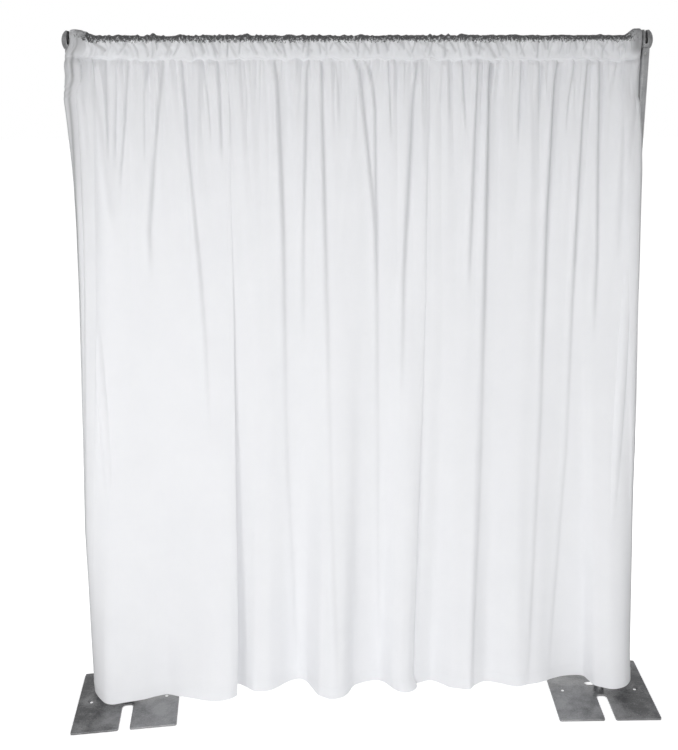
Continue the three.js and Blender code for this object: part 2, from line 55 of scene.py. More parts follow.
leftAxis = middle("slotted_head_left").x
rightAxis = middle("slotted_head_right").x
spanMiddle = (leftAxis + rightAxis) / 2
barHeight = middle("crossbar_outer_tube").z
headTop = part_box("slotted_head_left")[1].z
millimetre = 0.001
tiny = 1e-9  # keeps a division from failing


# Cloth

cloth = {
    "ply": 0.0009,
    "hemPly": 0.0022,
    "sidePly": 0.0018,
    "hemBand": 0.050,
    "sideBand": 0.024,
    "bandStep": 0.003,        # over which a hem's fold begins
    "stitchDrop": 0.050,      # crossbar's axis down to the pocket's stitch line
    "stitchTilt": (0.003, -0.004),  # the line's rise at the left and at the right end
    "tiltBand": 0.03,         # height over which that rise dies out
    "seamPlane": 0.0016,      # each ply off the plane of the stitch line
    "columns": 400,
    "fallRows": 74,
    "pocketRows": 45,
    "rowCrowding": 1.4,       # rows lie closer towards the stitch line
    "foldGrowth": 2.3,        # above 1, the hem's folds fade sooner on their way up
    "headClearance": 0.0315,  # cloth's distance from an upright's axis near the head
    "tubeClearance": 0.0215,  # and lower down
    "clearanceBand": 0.004,   # height over which one becomes the other
    "neckTop": 2.310,         # the free edge turns round the upright between these heights
    "neckBottom": 2.215,
}
stitchHeight = barHeight - cloth["stitchDrop"]

# Pocket round the bare crossbar and hood over a slotted head, front stitch line to tail,
# as (back, up) in millimetres from the crossbar's axis
pocketSection = [(-1.6, -50), (-8, -43), (-15.5, -31), (-19.8, -16), (-20.6, -3), (-18.6, 7), (-13.5, 13.2),
                 (-6.5, 16.4), (0, 17.0), (7, 16.2), (14, 12.3), (19, 5), (20.6, -5), (19, -19), (13, -34),
                 (6, -45), (1.6, -51), (1.4, -57), (2.4, -63)]
hoodSection = [(-33, -50), (-33, -42), (-33, -30), (-33, -16), (-33, 0), (-32.3, 12), (-29, 23.5),
               (-21, 32.4), (-8, 35.8), (8, 35.8), (21, 32.4), (29, 23.5), (32.3, 12), (33, -5), (33, -28),
               (33, -42), (33, -50), (33, -56), (33.6, -62)]

# The stitch line's plan round an upright, as (outwards, back) in millimetres from its axis
leftWrap = [(13.5, -28.6), (4, -32.6), (-7, -33.6), (-20, -32.5), (-36, -24), (-56, -10), (-86, -1.6)]
rightWrap = [(-19, -33.2), (-25, -33), (-33, -29), (-42, -22), (-58, -10), (-86, -1.6)]

# Each panel's plan at the hem, left to right, and the heights that it passes below the stitch line.
# Millimetres from the middle of the span: (across, back), and (height, across) for the edges' outlines.
leftPanel = {
    "name": "drape_panel_left",
    "node": "drape_left",
    "stitches": "stitches_left",
    "top": (-907.4, -419),
    "hem": 16,
    "hemPlan": [(-1046, 104), (-1066, 84), (-1074, 52), (-1062, 22), (-1040, -10), (-1008, -43), (-975, -53),
                (-939, -45), (-896, -35), (-853, -24), (-810, -6), (-766, 5), (-717, -10), (-669, -24),
                (-621, -39), (-574, -47), (-529, -38), (-509, -25), (-496, -10)],
    "neckPlan": [(-921, 24), (-933, 15), (-937, 0), (-933, -14), (-922, -23.5), (-908, -24.5), (-902.5, -25),
                 (-899.5, -33), (-893, -38), (-880, -37), (-856, -28)],
    "outline": [(2384, -929), (2309, -935), (2201, -937), (2050, -939), (1816, -947), (1572, -960),
                (1316, -979), (1035, -1001), (723, -1026), (378, -1041), (49, -1058)],
    "side": "left",
    "wrap": leftWrap,
    "valleyDepth": 0.004,
    # painted shade at the free edge, the neck and the hood, and a painted shadow line beside the edge
    "edgeShade": 0.62,
    "neckShade": 0.30,
    "neckShadowLine": 0.42,
    "hoodShade": 0.46,
    "rightEdge": [(2356, -422), (2305, -421), (1578, -439), (900, -462), (272, -481), (16, -496)],
}
middlePanel = {
    "name": "drape_panel_middle",
    "node": "drape_middle",
    "stitches": "stitches_middle",
    "top": (-425, 230),
    "hem": 28,
    "hemPlan": [(-560, 34), (-528, 44), (-497, 46), (-466, 26), (-432, -3), (-401, -7), (-371, -2),
                (-341, 20), (-304, 54), (-266, 72), (-234, 56), (-209, 14), (-183, -35), (-160, -52),
                (-129, -66), (-91, -55), (-68, -30), (-45, 18), (-9, 40), (42, 52), (73, 40), (96, 12),
                (118, -15), (148, -32), (178, -26), (196, -8), (203, 8)],
    "side": None,
    "rightEdge": [(2361, 227), (2301, 224), (1569, 220), (900, 205), (81, 186), (28, 203)],
}
rightPanel = {
    "name": "drape_panel_right",
    "node": "drape_right",
    "stitches": "stitches_right",
    "top": (224, 896),
    "hem": 28,
    "hemRise": (640, 38),     # the hem lifts to the right of this place, to this height at its end
    "hemPlan": [(150, 20), (180, 26), (210, 30), (255, 46), (293, 25), (329, -3), (371, -15), (405, -19),
                (428, 6), (471, 31), (520, 19), (587, -7), (636, 5), (685, 16), (738, 41), (789, 55),
                (855, 51), (875, 17), (890, -18), (921, -36), (952, -48), (985, -42), (1010, -26),
                (1030, 2), (1040, 34), (1036, 66), (1020, 88)],
    "neckPlan": [(856, -24), (870, -28), (884, -29), (894, -28), (900, -26)],
    "outline": [(2374, 897), (2225, 906), (2112, 919), (1995, 930), (1850, 937), (1714, 944), (1555, 951),
                (1411, 960), (1190, 972), (1015, 983), (803, 994), (390, 1020), (170, 1034), (39, 1046)],
    "side": "right",
    "wrap": rightWrap,
    "valleyDepth": 0.002,
    # painted shade at the free edge, the neck and the hood
    "edgeShade": 0.50,
    "neckShade": 0.20,
    "neckShadowLine": 0,
    "hoodShade": 0.80,
    "rightEdge": None,
}

# Creases: how far the cloth steps back to the right of a line, the step's half width, how far it
# takes to come forward again, and (across, height) down the line, all in millimetres
creases = [
    (-4, 12, 80, [(-885, 2392), (-865, 2355), (-845, 2155), (-838, 2000), (-834, 1850)]),
    (2.5, 5, 30, [(-806, 2356), (-818, 2200), (-822, 2060)]),
    (3, 5, 30, [(-771, 2353), (-787, 2200), (-800, 2070)]),
    (4.5, 5, 35, [(-736, 2352), (-761, 2169), (-789, 1987)]),
    (3, 5, 30, [(-672, 2352), (-694, 2250), (-706, 2060)]),
    (5, 7, 40, [(-627, 2351), (-667, 2106), (-708, 1817), (-712, 1700)]),
    (5.5, 6, 38, [(-570, 2357), (-563, 2074), (-546, 1648), (-542, 1440), (-546, 1150)]),
    (3.5, 5, 26, [(-503, 2354), (-492, 2250), (-489, 2120)]),
    (4, 5, 28, [(-456, 2356), (-454, 2229), (-456, 2073)]),
    (2.5, 5, 28, [(-372, 2354), (-366, 2250), (-367, 2160)]),
    (2.5, 4, 26, [(-318, 2354), (-322, 2280), (-328, 2190)]),
    (6, 7, 60, [(-274, 2355), (-267, 2289), (-262, 1812), (-276, 1033), (-267, 181)]),
    (5, 6, 36, [(-163, 2354), (-171, 2318), (-196, 1779), (-205, 1500)]),
    (6, 7, 50, [(-125, 2354), (-124, 2165), (-120, 1487), (-120, 838), (-110, 220)]),
    (3, 5, 25, [(-78, 2354), (-72, 2270), (-70, 2190)]),
    (5.5, 6, 34, [(-30, 2378), (-2, 2314), (24, 2069), (48, 1809), (50, 1700)]),
    (5.5, 6, 44, [(12, 2354), (38, 2290), (48, 2194), (52, 1467), (53, 259)]),
    (5, 5, 28, [(90, 2362), (96, 2225), (99, 2132)]),
    (7, 7, 34, [(183, 2346), (170, 2224), (144, 1673), (138, 1300)]),
    (3, 5, 26, [(283, 2354), (287, 2270), (290, 2200)]),
    (4.5, 5, 26, [(326, 2352), (334, 2254), (342, 2161)]),
    (5, 6, 28, [(377, 2351), (376, 2254), (371, 1855), (368, 1650)]),
    (9, 7, 70, [(421, 2375), (417, 2300), (422, 1567), (424, 900), (415, 75)]),
    (5, 5, 30, [(518, 2351), (518, 2253), (519, 2128)]),
    (3.5, 5, 26, [(575, 2352), (580, 2270), (583, 2190)]),
    (9, 7, 52, [(639, 2359), (630, 2283), (626, 1853), (636, 1112), (634, 114)]),
    (4, 5, 24, [(690, 2352), (682, 2270), (676, 2150)]),
    (7, 6, 44, [(730, 2337), (727, 2158), (728, 1563), (737, 1015), (723, 199)]),
    (6, 6, 34, [(767, 2373), (775, 2279), (804, 1734), (808, 1500)]),
    (3, 9, 60, [(842, 2340), (858, 2240), (864, 2060), (878, 1700)]),
]

# Pleats that hang from the stitch line: how far apart, how proud, how far down they reach
pleats = [
    {"spacing": 0.042, "proud": 0.0170, "reach": 0.46, "drift": 0.030, "seed": 11},
    {"spacing": 0.022, "proud": 0.0110, "reach": 0.21, "drift": 0.060, "seed": 23},
    {"spacing": 0.0115, "proud": 0.0042, "reach": 0.085, "drift": 0.090, "seed": 37},
]
pleatShape = {
    "widthShare": 0.42,       # half width at the stitch line, as a share of the spacing
    "widening": 0.35,         # added to it a length further down, for so many lengths at most
    "wideningLength": 0.5,
    "wideningLimit": 1.5,
    "fade": 1.5,              # how suddenly a pleat dies out
    "square": 1.8,            # 2 is a bell, less is sharper
}
# Puckers round the pocket: how far apart, how proud, how far they lean across the band
puckers = [
    {"spacing": 0.036, "proud": 0.0120, "lean": 0.034, "seed": 41},
    {"spacing": 0.0150, "proud": 0.0070, "lean": 0.018, "seed": 53},
]
puckerShape = {
    "widthShare": 0.46,
    "square": 1.7,
    "lean": (0.6, 0.5),       # every pucker's, and what its own lean adds
    "swell": 0.25,            # how much it swells and thins on its way round
    "swellRate": (6, 9),
}
# How unlike each other the folds of a row are, as shares of the row's own figures
foldSpread = {"spacing": (0.55, 1.5), "size": (0.35, 1.25), "reach": (0.35, 1.6)}

# The creases' shape. Widths are in half widths of the step
creaseShape = {
    "tailShare": 0.12,        # a crease runs out over this share of its length
    "leastTail": 0.06,
    "topBand": 0.01,
    "width": (0.9, 0.5),      # at the top, and what it gains on the way down
    "widthReach": 0.8,
    "steepness": 3,
    "steepest": 40,
    "ridge": 0.35,            # the ridge before the step, as a share of it
    "ridgePlace": 1.3,
    "linePlace": 0.3,         # its painted shade line
    "lineWidth": 0.8,
    "fade": (0.2, 1.3),       # depth below the crossbar over which creases grow weaker
    "strength": 2.3,
    "strengthLost": 1.8,
    "lineLost": 0.7,
}

# Grooves that run down across the pocket, in millimetres: (across, up from the crossbar's axis).
# The ones beside the hoods come first, then the ones that the gathers pull, as ranges
grooves = [
    {"from": (-868, 22), "to": (-798, -30), "depth": 8.5, "width": 4.5},
    {"from": (-842, 14), "to": (-820, -44), "depth": 2.4, "width": 4},
    {"from": (852, 12), "to": (838, -36), "depth": 3.6, "width": 4},
    {"from": (874, 26), "to": (824, -22), "depth": 4.0, "width": 5},
]
pulls = {"count": 110, "run": (-18, 38), "top": (-8, 13), "bottom": (-48, -20), "depth": (1.8, 6.4),
         "width": (2.8, 5.4), "seed": 67}


def pulledGrooves():
    rng = np.random.default_rng(pulls["seed"])
    out = []
    for k in range(pulls["count"]):
        across = (rightAxis - leftAxis) * (k + rng.uniform(0, 1)) / pulls["count"]
        x = (leftAxis - spanMiddle + across) / millimetre
        run, top, bottom = (rng.uniform(*pulls[key]) for key in ("run", "top", "bottom"))
        out.append({"from": (x, top), "to": (x + run, bottom),
                    "depth": rng.uniform(*pulls["depth"]), "width": rng.uniform(*pulls["width"])})
    return out


grooves += pulledGrooves()


def lineAt(points, place):
    points = sorted(points)
    return np.interp(place, [p[0] for p in points], [p[1] for p in points])


# Length from a line's start to each of its points, out of the steps between them
def lengthsTo(steps):
    return np.concatenate([[0], np.cumsum(steps)])


# A smooth curve through the plan's points, as many points as asked, evenly spaced along it
def evenCurve(points, count, fine=40):
    pts = np.array(points, float)
    ends = np.vstack([2 * pts[0] - pts[1], pts, 2 * pts[-1] - pts[-2]])
    t = np.linspace(0, 1, fine, endpoint=False)[:, None]
    runs = []
    for i in range(len(pts) - 1):
        a, b, c, d = ends[i:i + 4]
        bend, twist = 2 * a - 5 * b + 4 * c - d, 3 * b - a - 3 * c + d
        runs.append(0.5 * (2 * b + (c - a) * t + bend * t ** 2 + twist * t ** 3))
    curve = np.vstack(runs + [pts[-1:]])
    along = lengthsTo(np.linalg.norm(np.diff(curve, axis=0), axis=1))
    even = np.linspace(0, along[-1], count)
    return np.stack([np.interp(even, along, curve[:, k]) for k in range(pts.shape[1])], axis=1), along[-1]


def smoothStep(value, low, high):
    t = np.clip((value - low) / (high - low), 0, 1)
    return t * t * (3 - 2 * t)


# A soft bump about a line or place, 1 on it
def bell(away, width, power=2):
    return np.exp(-(away / width) ** power)


# Centres of folds in a row, unevenly spaced, with each one's own size, lean and reach
def foldRow(level):
    rng = np.random.default_rng(level["seed"])
    margin = 2 * level["spacing"]
    places, x = [], leftAxis - margin
    while x < rightAxis + margin:
        places.append(x)
        x += level["spacing"] * rng.uniform(*foldSpread["spacing"])
    count = len(places)
    sizes = rng.uniform(*foldSpread["size"], count)
    leans = rng.normal(0, 1, count)
    return zip(places, sizes, leans, rng.uniform(*foldSpread["reach"], count))


# How proud the pleats stand, by place across and depth below the stitch line
def pleatField(across, depth):
    shape = pleatShape
    total = np.zeros_like(across)
    for level in pleats:
        best = np.zeros_like(across)
        wider = np.minimum(depth / shape["wideningLength"], shape["wideningLimit"])
        width = level["spacing"] * (shape["widthShare"] + shape["widening"] * wider)
        for place, size, lean, reach in foldRow(level):
            centre = place + lean * level["drift"] * depth
            gone = bell(depth, level["reach"] * reach, shape["fade"])
            ridge = size * level["proud"] * gone * bell(np.abs(across - centre), width, shape["square"])
            best = np.maximum(best, ridge)
        total += best
    return total


def puckerField(across, up):
    shape = puckerShape
    total = np.zeros_like(across)
    for level in puckers:
        best = np.zeros_like(across)
        for place, size, lean, reach in foldRow(level):
            centre = place - level["lean"] * (shape["lean"][0] + shape["lean"][1] * lean) * up
            width = level["spacing"] * shape["widthShare"]
            ridge = size * bell(np.abs(across - centre), width, shape["square"])
            rate, start = shape["swellRate"]
            swelling = (1 - shape["swell"]) + shape["swell"] * np.cos(rate * reach * up + start * lean)
            best = np.maximum(best, ridge * swelling)
        total += best * level["proud"]
    return total


# How far the creases set the cloth back, and how dark the painted shade of their lines is, by place across
# and height
def creaseField(across, height):
    shape = creaseShape
    total, lines = np.zeros_like(across), np.zeros_like(across)
    for step, halfWidth, recover, line in creases:
        centre = lineAt([(h, x) for x, h in line], height / millimetre) * millimetre + spanMiddle
        top, bottom = (ends(h for _, h in line) * millimetre for ends in (max, min))
        tail = max(shape["tailShare"] * (top - bottom), shape["leastTail"])
        shown = smoothStep(height, bottom - tail, bottom + tail)
        shown = shown * (1 - smoothStep(height, top - shape["topBand"], top + shape["topBand"]))
        atTop, gained = shape["width"]
        width = halfWidth * millimetre * (atTop + gained * smoothStep(top - height, 0, shape["widthReach"]))
        d = across - centre
        slope = np.clip(d / width * shape["steepness"], -shape["steepest"], shape["steepest"])
        stepped = 1 / (1 + np.exp(-slope)) * np.exp(-np.maximum(d, 0) / (recover * millimetre))
        ridgePlace = shape["ridgePlace"] * width
        ridge = shape["ridge"] * bell(d + ridgePlace, ridgePlace)
        total += shown * step * millimetre * (stepped - ridge)
        dark = bell(d - shape["linePlace"] * width, shape["lineWidth"] * width)
        lines = np.maximum(lines, shown * abs(step) * millimetre * dark)
    fade = smoothStep(barHeight - height, *shape["fade"])
    return total * (shape["strength"] - shape["strengthLost"] * fade), lines * (1 - shape["lineLost"] * fade)


def grooveField(across, up):
    total = np.zeros_like(across)
    for groove in grooves:
        start, end = np.array(groove["from"]) * millimetre, np.array(groove["to"]) * millimetre
        run = end - start
        t = ((across - start[0]) * run[0] + (up - start[1]) * run[1]) / run.dot(run)
        t = np.clip(t, 0, 1)
        away = np.hypot(across - start[0] - t * run[0], up - start[1] - t * run[1])
        total = np.maximum(total, groove["depth"] * millimetre * bell(away, groove["width"] * millimetre))
    return total


# How a panel falls from its stitch line to its hem
fall = {
    "riseEnd": 1.0,           # across, where a rising hem is at its highest
    "straightSteps": 6,       # points of the stitch line under the crossbar
    "neckInset": 0.058,       # how far inside an upright's axis the free edge's turn begins
    "neckEase": 0.03,         # over which the cloth beside it follows
    "bandGap": 0.001,         # extra rows on both sides of the hem's fold, share of the height
    "hemRows": (0.997, 0.9995),  # and close above its edge
    "outlineEase": 0.16,      # how far in from a free edge its outline draws the cloth
    "seamEase": 0.22,         # the same for a right edge, as a share of the width
    "tuck": (0.016, 0.004),   # a left edge goes behind its neighbour: across, back
    "tuckDepth": 0.05,
    "tuckShare": 0.04,
    "tuckLost": 0.6,          # share of it that is gone at the hem
    "facing": (0.2, 0.8),     # creases show where the cloth looks to the front
    "pleatsBegin": (-0.001, 0.02),
    "hangBack": 0.45,         # share of the pleats' mean by which the cloth hangs back
    "creasesBegin": (0, 0.03),
    "calmEdge": 0.012,        # this close to an edge the relief dies out, to a share of it
    "calmShare": 0.25,
}

# The side hem rolls forward of a shallow valley. Each range is of depths below the stitch line
valley = {
    "inward": 0.020,
    "closer": 0.011,          # how much closer to the edge it runs further down
    "closerFrom": (0.15, 0.5),
    "weaker": 0.6,
    "weakerFrom": (0.3, 0.9),
    "width": 0.0055,
    "begins": (0.01, 0.06),
}

# The pocket and the hoods. Shares run round the section, from the front stitch line to the tail
pocket = {
    "hoodBand": (0.031, 0.066),  # from an upright's axis: all hood, no hood
    "hoodCalm": 0.6,          # share of the puckers that the hoods lack
    "backSeam": 0.86,         # share at which the back ply meets the stitch line
    "fullness": 0.4,          # below 1 the puckers rise quickly from the seam
    "crest": (0.44, 0.13),    # the crest's place and half width, as shares
    "crestCalm": (0.7, 0.93),  # how much less it puckers, at the left and right end of the span
    "puckerTurns": 4,
    "lip": 0.0022,            # a right end stands out over its neighbour
    "lipWidth": 0.012,
    "grooveFrom": (0.01, 0.06),
    "grooveTo": 0.45,
    "lumps": 250,
    "lumpHeight": 0.0019,     # small lumps along the crest
    "lowestLump": -0.0012,
    "lumpSpan": (0, 0.7, 0.85, 1),  # and how strong they are along the span
    "lumpShares": (1, 1, 0.3, 0.2),
    "lumpSeed": 8,
    "settleShare": 0.22,      # by here it has come from the stitch line's plan over the crossbar
    "overHead": 0.002,
    "scallops": 110,          # the stitch line wanders up and down
    "scallopMargin": 0.1,
    "scallop": 0.0036,
    "scallopBand": 0.012,
    "scallopSeed": 7,
    "frontPlies": 0.03,       # nothing further back wanders with it
}

# Painted shade on the cloth: a dark band along the pocket's crest, and a grey cast by distance from a free
# edge or depth
clothShade = {
    "crestShadeBand": (-0.010, 0.011),  # painted crest shade, up from the crossbar's axis: none, full
    "hoodCrestShadeLack": 0.9,          # share of the painted crest shade that the hoods lack
    "creaseShade": 38,         # how much darker the painted shade makes the cloth by a crease's step in metres
    "grooveShade": 55,         # and by a groove's depth
    "edge": [(0.55, 0.008, 2), (0.45, 0.032, 1.5)],  # share, width and power of two bands of painted shade along a free edge
    "neckWidth": 0.048,
    "neckSquare": 4,
    "neckEnds": (0.25, 0.8),
    "line": 0.024,            # the painted shadow line behind the rolled edge, and how much closer it comes
    "lineCloser": 0.017,
    "lineCloserFrom": (0.08, 0.55),
    "lineWidth": 0.005,
    "lineEnds": (0.35, 1.1),
    "hoodFrom": (-0.012, 0.03),   # up from the stitch line
}


# Which upright a panel's free edge hangs at: -1 for left or 1, and the axis
def uprightOf(panel):
    return (-1, leftAxis) if panel["side"] == "left" else (1, rightAxis)


# The cloth's least distance from both uprights
def clearOf(x, y, least, held=True):
    for axis in (leftAxis, rightAxis):
        away = np.hypot(x - axis, y)
        push = np.where((away < least) & held, least / np.maximum(away, tiny), 1)
        x = axis + (x - axis) * push
        y = y * push
    return x, y


def between(start, end, share):
    return start + (end - start) * share


# From one plan to another: across in step with the share, and back as the folds grow
def hangBetween(start, end, share):
    grown = share ** cloth["foldGrowth"]
    return between(start[:, 0], end[:, 0], share), between(start[:, 1], end[:, 1], grown)


def spanShare(across):
    return (across - leftAxis) / (rightAxis - leftAxis)


def hemLine(panel, count):
    hem, length = evenCurve(panel["hemPlan"], count)
    hem = hem * millimetre
    hem[:, 0] += spanMiddle
    height = np.full(count, panel["hem"] * millimetre)
    if "hemRise" in panel:
        start, end = panel["hemRise"]
        rise = smoothStep(hem[:, 0] - spanMiddle, start * millimetre, fall["riseEnd"])
        height += rise * (end - panel["hem"]) * millimetre
    return hem, height, length * millimetre


# The plans of the stitch line and of the neck just below the head, where the free edge goes on
# round the upright
def topLines(panel, pocketX, topFrom, topTo):
    count = len(pocketX)
    if not panel["side"]:
        top = np.stack([pocketX, np.full(count, -cloth["seamPlane"])], axis=1)
        return top, top
    sign, axis = uprightOf(panel)
    wrap = [(axis + sign * out * millimetre, back * millimetre) for out, back in panel["wrap"]]
    steps = np.linspace(wrap[-1][0], topTo if sign < 0 else topFrom, fall["straightSteps"])[1:]
    points = wrap + [(x, -cloth["seamPlane"]) for x in steps]
    top = evenCurve(points if sign < 0 else points[::-1], count)[0]
    neck = top.copy()
    around = [(x * millimetre + spanMiddle, y * millimetre) for x, y in panel["neckPlan"]]
    outer = sign * (top[:, 0] - axis) > -fall["neckInset"]
    turn = evenCurve(around, outer.sum())[0]
    neck[outer] = turn
    last = turn[-1] if sign < 0 else turn[0]
    inside = np.abs(top[:, 0] - last[0])
    jump = last[1] - top[np.argmin(np.where(outer, np.inf, inside)), 1]
    neck[~outer, 1] += jump * np.exp(-inside[~outer] / fall["neckEase"])
    return top, neck


# The cloth from the stitch line down to the hem, with the painted shade in its creases
def fallNet(panel, u, lines, hem, hemHeight, hemLength):
    top, neck = lines
    drop = stitchHeight - panel["hem"] * millimetre
    share = (np.arange(cloth["fallRows"] + 1) / cloth["fallRows"]) ** cloth["rowCrowding"]
    bandShare = 1 - cloth["hemBand"] / drop
    extra = [bandShare - fall["bandGap"], bandShare + fall["bandGap"], *fall["hemRows"]]
    share = np.unique(np.concatenate([share, extra]))
    t = share[:, None]
    height = between(stitchHeight, hemHeight, t)
    x, y = hangBetween(top, hem, t)
    if panel["side"]:
        # The neck's plan takes over from the stitch line's just under the head
        sign = uprightOf(panel)[0]
        neckShare = (stitchHeight - cloth["neckBottom"]) / drop
        low = np.clip((t - neckShare) / (1 - neckShare), 0, 1)
        settle = 1 - smoothStep(height, cloth["neckBottom"], cloth["neckTop"])
        x, y = (between(top[:, k], under, settle) for k, under in enumerate(hangBetween(neck, hem, low)))
        # The free edge keeps to its outline
        outline = lineAt(panel["outline"], height / millimetre) * millimetre + spanMiddle
        reach = x.min(axis=1) if sign < 0 else x.max(axis=1)
        wanted = np.where(share > neckShare, outline[:, 0 if sign < 0 else -1], reach)
        x = x + (wanted - reach)[:, None] * bell(np.abs(x - reach[:, None]), fall["outlineEase"])
    if panel["side"] != "left":
        # Its left edge tucks behind the neighbour
        tuck = smoothStep(stitchHeight - height, 0, fall["tuckDepth"]) * bell(u, fall["tuckShare"])
        tuck = tuck * (1 - fall["tuckLost"] * t)
        x = x - fall["tuck"][0] * tuck
        y = y + fall["tuck"][1] * tuck
    if panel["rightEdge"]:
        edge = lineAt(panel["rightEdge"], height[:, -1] / millimetre) * millimetre + spanMiddle
        x = x + (edge - x[:, -1])[:, None] * bell(1 - u, fall["seamEase"])

    # Relief stands out along the cloth's own direction in plan
    dx, dy = np.gradient(x, axis=1), np.gradient(y, axis=1)
    size = np.maximum(np.hypot(dx, dy), tiny)
    outX, outY = dy / size, -dx / size
    depth = stitchHeight - height
    facing = smoothStep(-outY, *fall["facing"])
    proud = pleatField(x, depth) * smoothStep(depth, *fall["pleatsBegin"])
    proud -= fall["hangBack"] * pleatField(x * 0 + spanMiddle, depth).mean(axis=1, keepdims=True)
    setBack, creaseLines = creaseField(x, height)
    proud -= setBack * facing * smoothStep(depth, *fall["creasesBegin"])
    edges = np.minimum(u, 1 - u) * hemLength
    calm = fall["calmShare"]
    proud *= smoothStep(edges, 0, fall["calmEdge"]) * (1 - calm) + calm
    if panel["side"]:
        fromEdge = (u if sign < 0 else 1 - u) * hemLength
        roll = fromEdge[np.argmin(x, axis=1) if sign < 0 else np.argmax(x, axis=1)]
        closer = valley["closer"] * smoothStep(depth, *valley["closerFrom"])
        away = fromEdge - (roll[:, None] + valley["inward"] - closer)
        sunk = panel["valleyDepth"] * (1 - valley["weaker"] * smoothStep(depth, *valley["weakerFrom"]))
        proud -= sunk * bell(away, valley["width"]) * smoothStep(depth, *valley["begins"])
    x = x + outX * proud
    y = y + outY * proud

    band = cloth["clearanceBand"]
    nearHead = smoothStep(height, cloth["neckTop"] - band, cloth["neckTop"] + band)
    x, y = clearOf(x, y, between(cloth["tubeClearance"], cloth["headClearance"], nearHead))
    return (x, y, height), creaseLines * facing * clothShade["creaseShade"]


# The pocket and the hoods over the heads, with their share of hood and the grooves' depth
def pocketNet(panel, u, top, pocketX, hemLength):
    acrossShare = spanShare(pocketX)
    section = np.linspace(0, 1, cloth["pocketRows"] + 1)
    bare = evenCurve(pocketSection, len(section))[0] * millimetre
    hooded = evenCurve(hoodSection, len(section))[0] * millimetre
    fromAxis = np.minimum(np.abs(pocketX - leftAxis), np.abs(pocketX - rightAxis))
    hood = 1 - smoothStep(fromAxis, *pocket["hoodBand"])
    ring = between(bare[:, None], hooded[:, None], hood[:, None])
    slope = np.gradient(ring, axis=0)
    slopeSize = np.maximum(np.linalg.norm(slope, axis=2), tiny)
    outBack, outUp = -slope[..., 1] / slopeSize, slope[..., 0] / slopeSize
    up = np.repeat(section[:, None], len(u), axis=1)
    bulge = np.sin(np.pi * np.clip(up / pocket["backSeam"], 0, 1)) ** pocket["fullness"]
    onTop = bell(up - pocket["crest"][0], pocket["crest"][1])
    loose = 1 - onTop * np.interp(acrossShare, (0, 1), pocket["crestCalm"])
    puff = puckerField(np.broadcast_to(pocketX, up.shape), up * pocket["puckerTurns"])
    puff = puff * bulge * loose * (1 - pocket["hoodCalm"] * hood)
    if panel["side"] != "right":
        puff = puff + pocket["lip"] * bell((1 - u) * hemLength, pocket["lipWidth"]) * bulge
    atFront = (up < pocket["grooveTo"]) * smoothStep(up, *pocket["grooveFrom"])
    groove = grooveField(np.broadcast_to(pocketX - spanMiddle, up.shape), ring[..., 1]) * atFront
    puff = puff - groove
    lumps = np.random.default_rng(pocket["lumpSeed"]).normal(0, 1, pocket["lumps"])
    lumps = np.interp(pocketX, np.linspace(leftAxis, rightAxis, len(lumps)), lumps) * pocket["lumpHeight"]
    strength = np.interp(acrossShare, pocket["lumpSpan"], pocket["lumpShares"])
    puff = puff + np.maximum(lumps, pocket["lowestLump"]) * onTop * strength
    ringY = ring[..., 0] + outBack * puff
    ringZ = barHeight + ring[..., 1] + outUp * puff
    # From the stitch line's own plan to the pocket's place on the crossbar
    lift = smoothStep(section, 0, pocket["settleShare"])[:, None]
    ringX = between(top[:, 0], pocketX, lift)
    ringY = between(top[:, 1], ringY, np.maximum(lift, section[:, None] > pocket["settleShare"]))
    ringX, ringY = clearOf(ringX, ringY, cloth["headClearance"], ringZ < headTop + pocket["overHead"])
    return (ringX, ringY, ringZ), hood, groove


# Painted shade by a free edge and the neck, a painted shadow line behind the rolled edge, and painted shade
# on the hood
def paintedShadeField(panel, gridX, gridZ, hood):
    end = gridX.min(axis=1) if panel["side"] == "left" else gridX.max(axis=1)
    inward = np.abs(gridX - end[:, None])
    below = stitchHeight - gridZ
    edge = sum(share * bell(inward, width, power) for share, width, power in clothShade["edge"])
    neck = bell(inward, clothShade["neckWidth"], clothShade["neckSquare"]) * (1 - smoothStep(below, *clothShade["neckEnds"]))
    paintedShade = np.maximum(panel["edgeShade"] * edge, panel["neckShade"] * neck)
    lineAway = inward - clothShade["line"] + clothShade["lineCloser"] * smoothStep(below, *clothShade["lineCloserFrom"])
    line = bell(lineAway, clothShade["lineWidth"]) * (1 - smoothStep(below, *clothShade["lineEnds"]))
    above = smoothStep(-below, *clothShade["hoodFrom"])
    return paintedShade, panel["neckShadowLine"] * line, panel["hoodShade"] * hood * above


